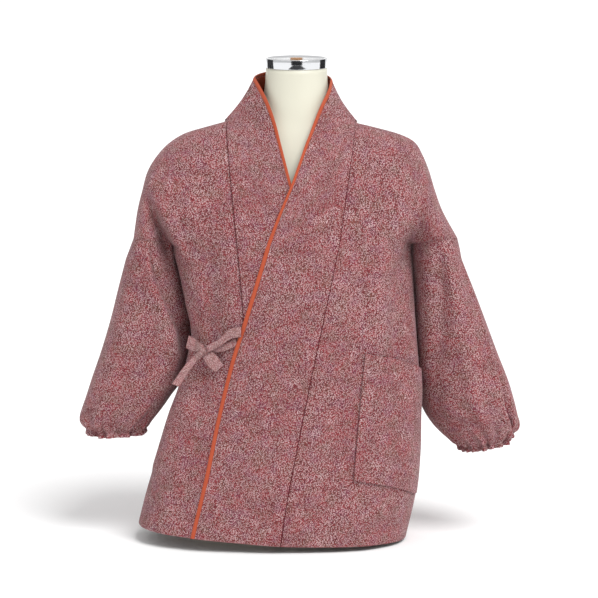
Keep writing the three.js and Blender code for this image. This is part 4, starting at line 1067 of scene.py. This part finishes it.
# Tie: a narrow folded strap sewn under the left band's edge and one from inside, tied in a flat bow in
# front of the right front. Each stretch that shows is a strip along a short line, with a soft middle.
TIE = {
    "tie_strap": {
        "x": [-83, -97, -106, -116, -134], "z": [337, 334.5, 328, 319, 309], "off": [9, 13, 15.5, 17.5, 19],
        "half": [7.2, 7.6, 5.6, 4.8, 4.4], "tilt": [90, 120, 119, 112, 100],
    },
    "tie_under_strap": {
        "x": [-90, -100, -112, -124, -133], "z": [321, 315.5, 310, 307.5, 306], "off": [3.8, 6, 8, 9.5, 10],
        "half": [5, 5, 4.6, 4.4, 4.2], "tilt": [100, 112, 108, 100, 95],
    },
    "tie_loop": {
        "x": [-139, -147, -155, -165], "z": [308, 310.5, 312.5, 317], "off": [14, 16.5, 17, 14],
        "half": [5.5, 8.5, 10, 9.8], "tilt": [100, 90, 82, 76],
    },
    "tie_tail": {
        "x": [-142, -153, -166, -182], "z": [304, 293, 278, 254], "off": [17.5, 17.5, 19, 22],
        "half": [3.8, 4.4, 5, 5.6], "tilt": [138, 140, 144, 156],
    },
    "tie_front_end": {
        "x": [-136, -130, -124, -116], "z": [301, 295, 288, 279.5], "off": [10, 14.5, 15, 12],
        "half": [7.6, 9.8, 10.2, 8], "tilt": [40, 45, 48, 44],
    },
}
STRAP_THICK = 1.6
STRAP_SEAT = -152
STRAP_SHADE = (0.85, 0.45)
# The tie's cloth, with painted light: paler than the rest of the garment where its straps catch the light.
lit_tie_material = flecked_cloth("tie_cloth_lit", 0.35)
for name, table in TIE.items():
    table["step"] = list(range(len(table["x"])))
    step = np.linspace(0, len(table["x"]) - 1, 28)
    x, z, off, half, tilt = (read(table, "step", step, c) for c in ("x", "z", "off", "half", "tilt"))
    seat = np.maximum(x, STRAP_SEAT)
    base = body_depth(seat, z, "front") - fold(FOLDS, seat, z)
    across = points(np.cos(np.radians(tilt)), 0, np.sin(np.radians(tilt)))
    k = np.linspace(-1, 1, 13)
    grid = points(x, base - off, z)[:, None] + across[:, None] * (half[:, None] * k)[..., None]
    grid[..., 1] += 1.6 * k * k + 0.7 * np.sin(2.3 * k + step[:, None])
    shade_marks = np.zeros(grid.shape[:2])
    # Painted shade along both edges of each strap, for the shadow beside and under it.
    shade_marks[:, 0], shade_marks[:, -1] = STRAP_SHADE
    on_roll = (4.1 + 0.05 * len(name), 0)
    behind = np.array([-130.0, 0.0, 300.0])
    strap = cloth_mesh(f"{name}_cloth", grid, behind, thick=STRAP_THICK, shade_marks=shade_marks, cut_from=on_roll)
    finish_piece(strap, [name], lit_tie_material)

KNOT = {"wide": 7.5, "high": 5.5, "deep": 4.5, "stand_off": 11.5}
KNOT_PLACE = (-138.0, 305.0)
turn = np.linspace(0, math.tau, 24, endpoint=False)[None, :]
along = np.linspace(-0.86, 0.86, 17)[:, None]
girth = np.sqrt(1 - along * along) ** 0.7 * (1 + 0.06 * np.cos(3 * turn + 5 * along))
depth = body_depth(*KNOT_PLACE, "front") - fold(FOLDS, *KNOT_PLACE) - KNOT["stand_off"]
rings = points(
    KNOT_PLACE[0] + along * KNOT["wide"],
    depth + np.cos(turn) * girth * KNOT["deep"],
    KNOT_PLACE[1] + np.sin(turn) * girth * KNOT["high"],
)
knot = rod_mesh("tie_knot_cloth", rings)
finish_piece(knot, ["tie_knot"], lit_tie_material)


# Studio: a wide white floor and a glowing white backdrop far behind it, even light from all round with a
# soft sun from the upper front on the wearer's left, and dark cards that show only in the chrome. The
# camera stands at the photograph's angle.
FLOOR_SIZE = 600
BACKDROP_HIGH = 60
BACKDROP_FAR = 0.48 * FLOOR_SIZE
BACKDROP_GLOW = 1.05
ROOM_LIGHT = 0.73
SUN_STRENGTH = 2.3
SUN_SPREAD = math.radians(30)
CARD_HIGH = 1.5
UPRIGHT = math.pi / 2
CARDS = {
    "right": ((-2.25, 1.1, CARD_HIGH / 2), (UPRIGHT, 0, 1.12), (1.9, CARD_HIGH, 1)),
    "left": ((2.25, 1.1, CARD_HIGH / 2), (UPRIGHT, 0, -1.12), (1.7, CARD_HIGH, 1)),
    "front": ((0.1, -4.3, CARD_HIGH / 2), (UPRIGHT, 0, 0), (3.2, CARD_HIGH, 1)),
    "floor": ((0.1, -2.9, 0.002), (0, 0, 0), (2.2, 2.6, 1)),
}


def studio_plane(name, place, turn, size, material):
    bpy.ops.object.select_all(action="DESELECT")
    bpy.ops.mesh.primitive_plane_add(size=1, location=place, rotation=turn)
    plane = bpy.context.object
    plane.name = name
    plane.scale = size
    plane.data.materials.append(material)
    return plane


floor_material, tree, shader = new_material("studio_white", 0.95)
shader.inputs["Base Color"].default_value = (0.97, 0.97, 0.97, 1.0)
shader.inputs["Specular IOR Level"].default_value = 0.0
studio_plane("studio_floor", (0, 0, 0), (0, 0, 0), (FLOOR_SIZE, FLOOR_SIZE, 1), floor_material)

card_material, tree, shader = new_material("studio_card", 0.9)
shader.inputs["Base Color"].default_value = (0.02, 0.02, 0.022, 1.0)
for name, (place, turn, size) in CARDS.items():
    card = studio_plane(f"studio_card_{name}", place, turn, size, card_material)
    card.visible_camera = False
    card.visible_diffuse = False
    card.visible_shadow = False

backdrop_material, tree, shader = new_material("studio_backdrop", 1.0)
shader.inputs["Base Color"].default_value = (0.0, 0.0, 0.0, 1.0)
shader.inputs["Emission Color"].default_value = (1.0, 1.0, 1.0, 1.0)
shader.inputs["Emission Strength"].default_value = BACKDROP_GLOW
backdrop_place = (0, BACKDROP_FAR, BACKDROP_HIGH / 2)
backdrop_size = (FLOOR_SIZE, BACKDROP_HIGH, 1)
studio_plane("studio_backdrop", backdrop_place, (UPRIGHT, 0, 0), backdrop_size, backdrop_material)

world = bpy.data.worlds.new("studio")
bpy.context.scene.world = world
world.use_nodes = True
world.node_tree.nodes["Background"].inputs["Color"].default_value = (1.0, 1.0, 1.0, 1.0)
world.node_tree.nodes["Background"].inputs["Strength"].default_value = ROOM_LIGHT
bpy.context.scene.view_settings.view_transform = "Standard"

TARGET = Vector((0.0039, 0, 0.372))
SUN_FROM = Vector((0.55, -0.8, 1.2))
sun = bpy.data.lights.new("soft_sun", "SUN")
sun.energy = SUN_STRENGTH
sun.angle = SUN_SPREAD
holder = bpy.data.objects.new("soft_sun", sun)
bpy.context.collection.objects.link(holder)
holder.rotation_euler = SUN_FROM.to_track_quat("Z", "Y").to_euler()

CAMERA_FAR = 3.6
CAMERA_RISE = math.radians(7)
FRAME_WIDE = 0.927
camera = bpy.data.objects.new("camera", bpy.data.cameras.new("camera"))
bpy.context.collection.objects.link(camera)
camera.data.sensor_width = 36
camera.data.lens = 36 * CAMERA_FAR / FRAME_WIDE
camera.location = TARGET + CAMERA_FAR * Vector((0, -math.cos(CAMERA_RISE), math.sin(CAMERA_RISE)))
camera.rotation_euler = (TARGET - camera.location).to_track_quat("-Z", "Y").to_euler()
bpy.context.scene.camera = camera
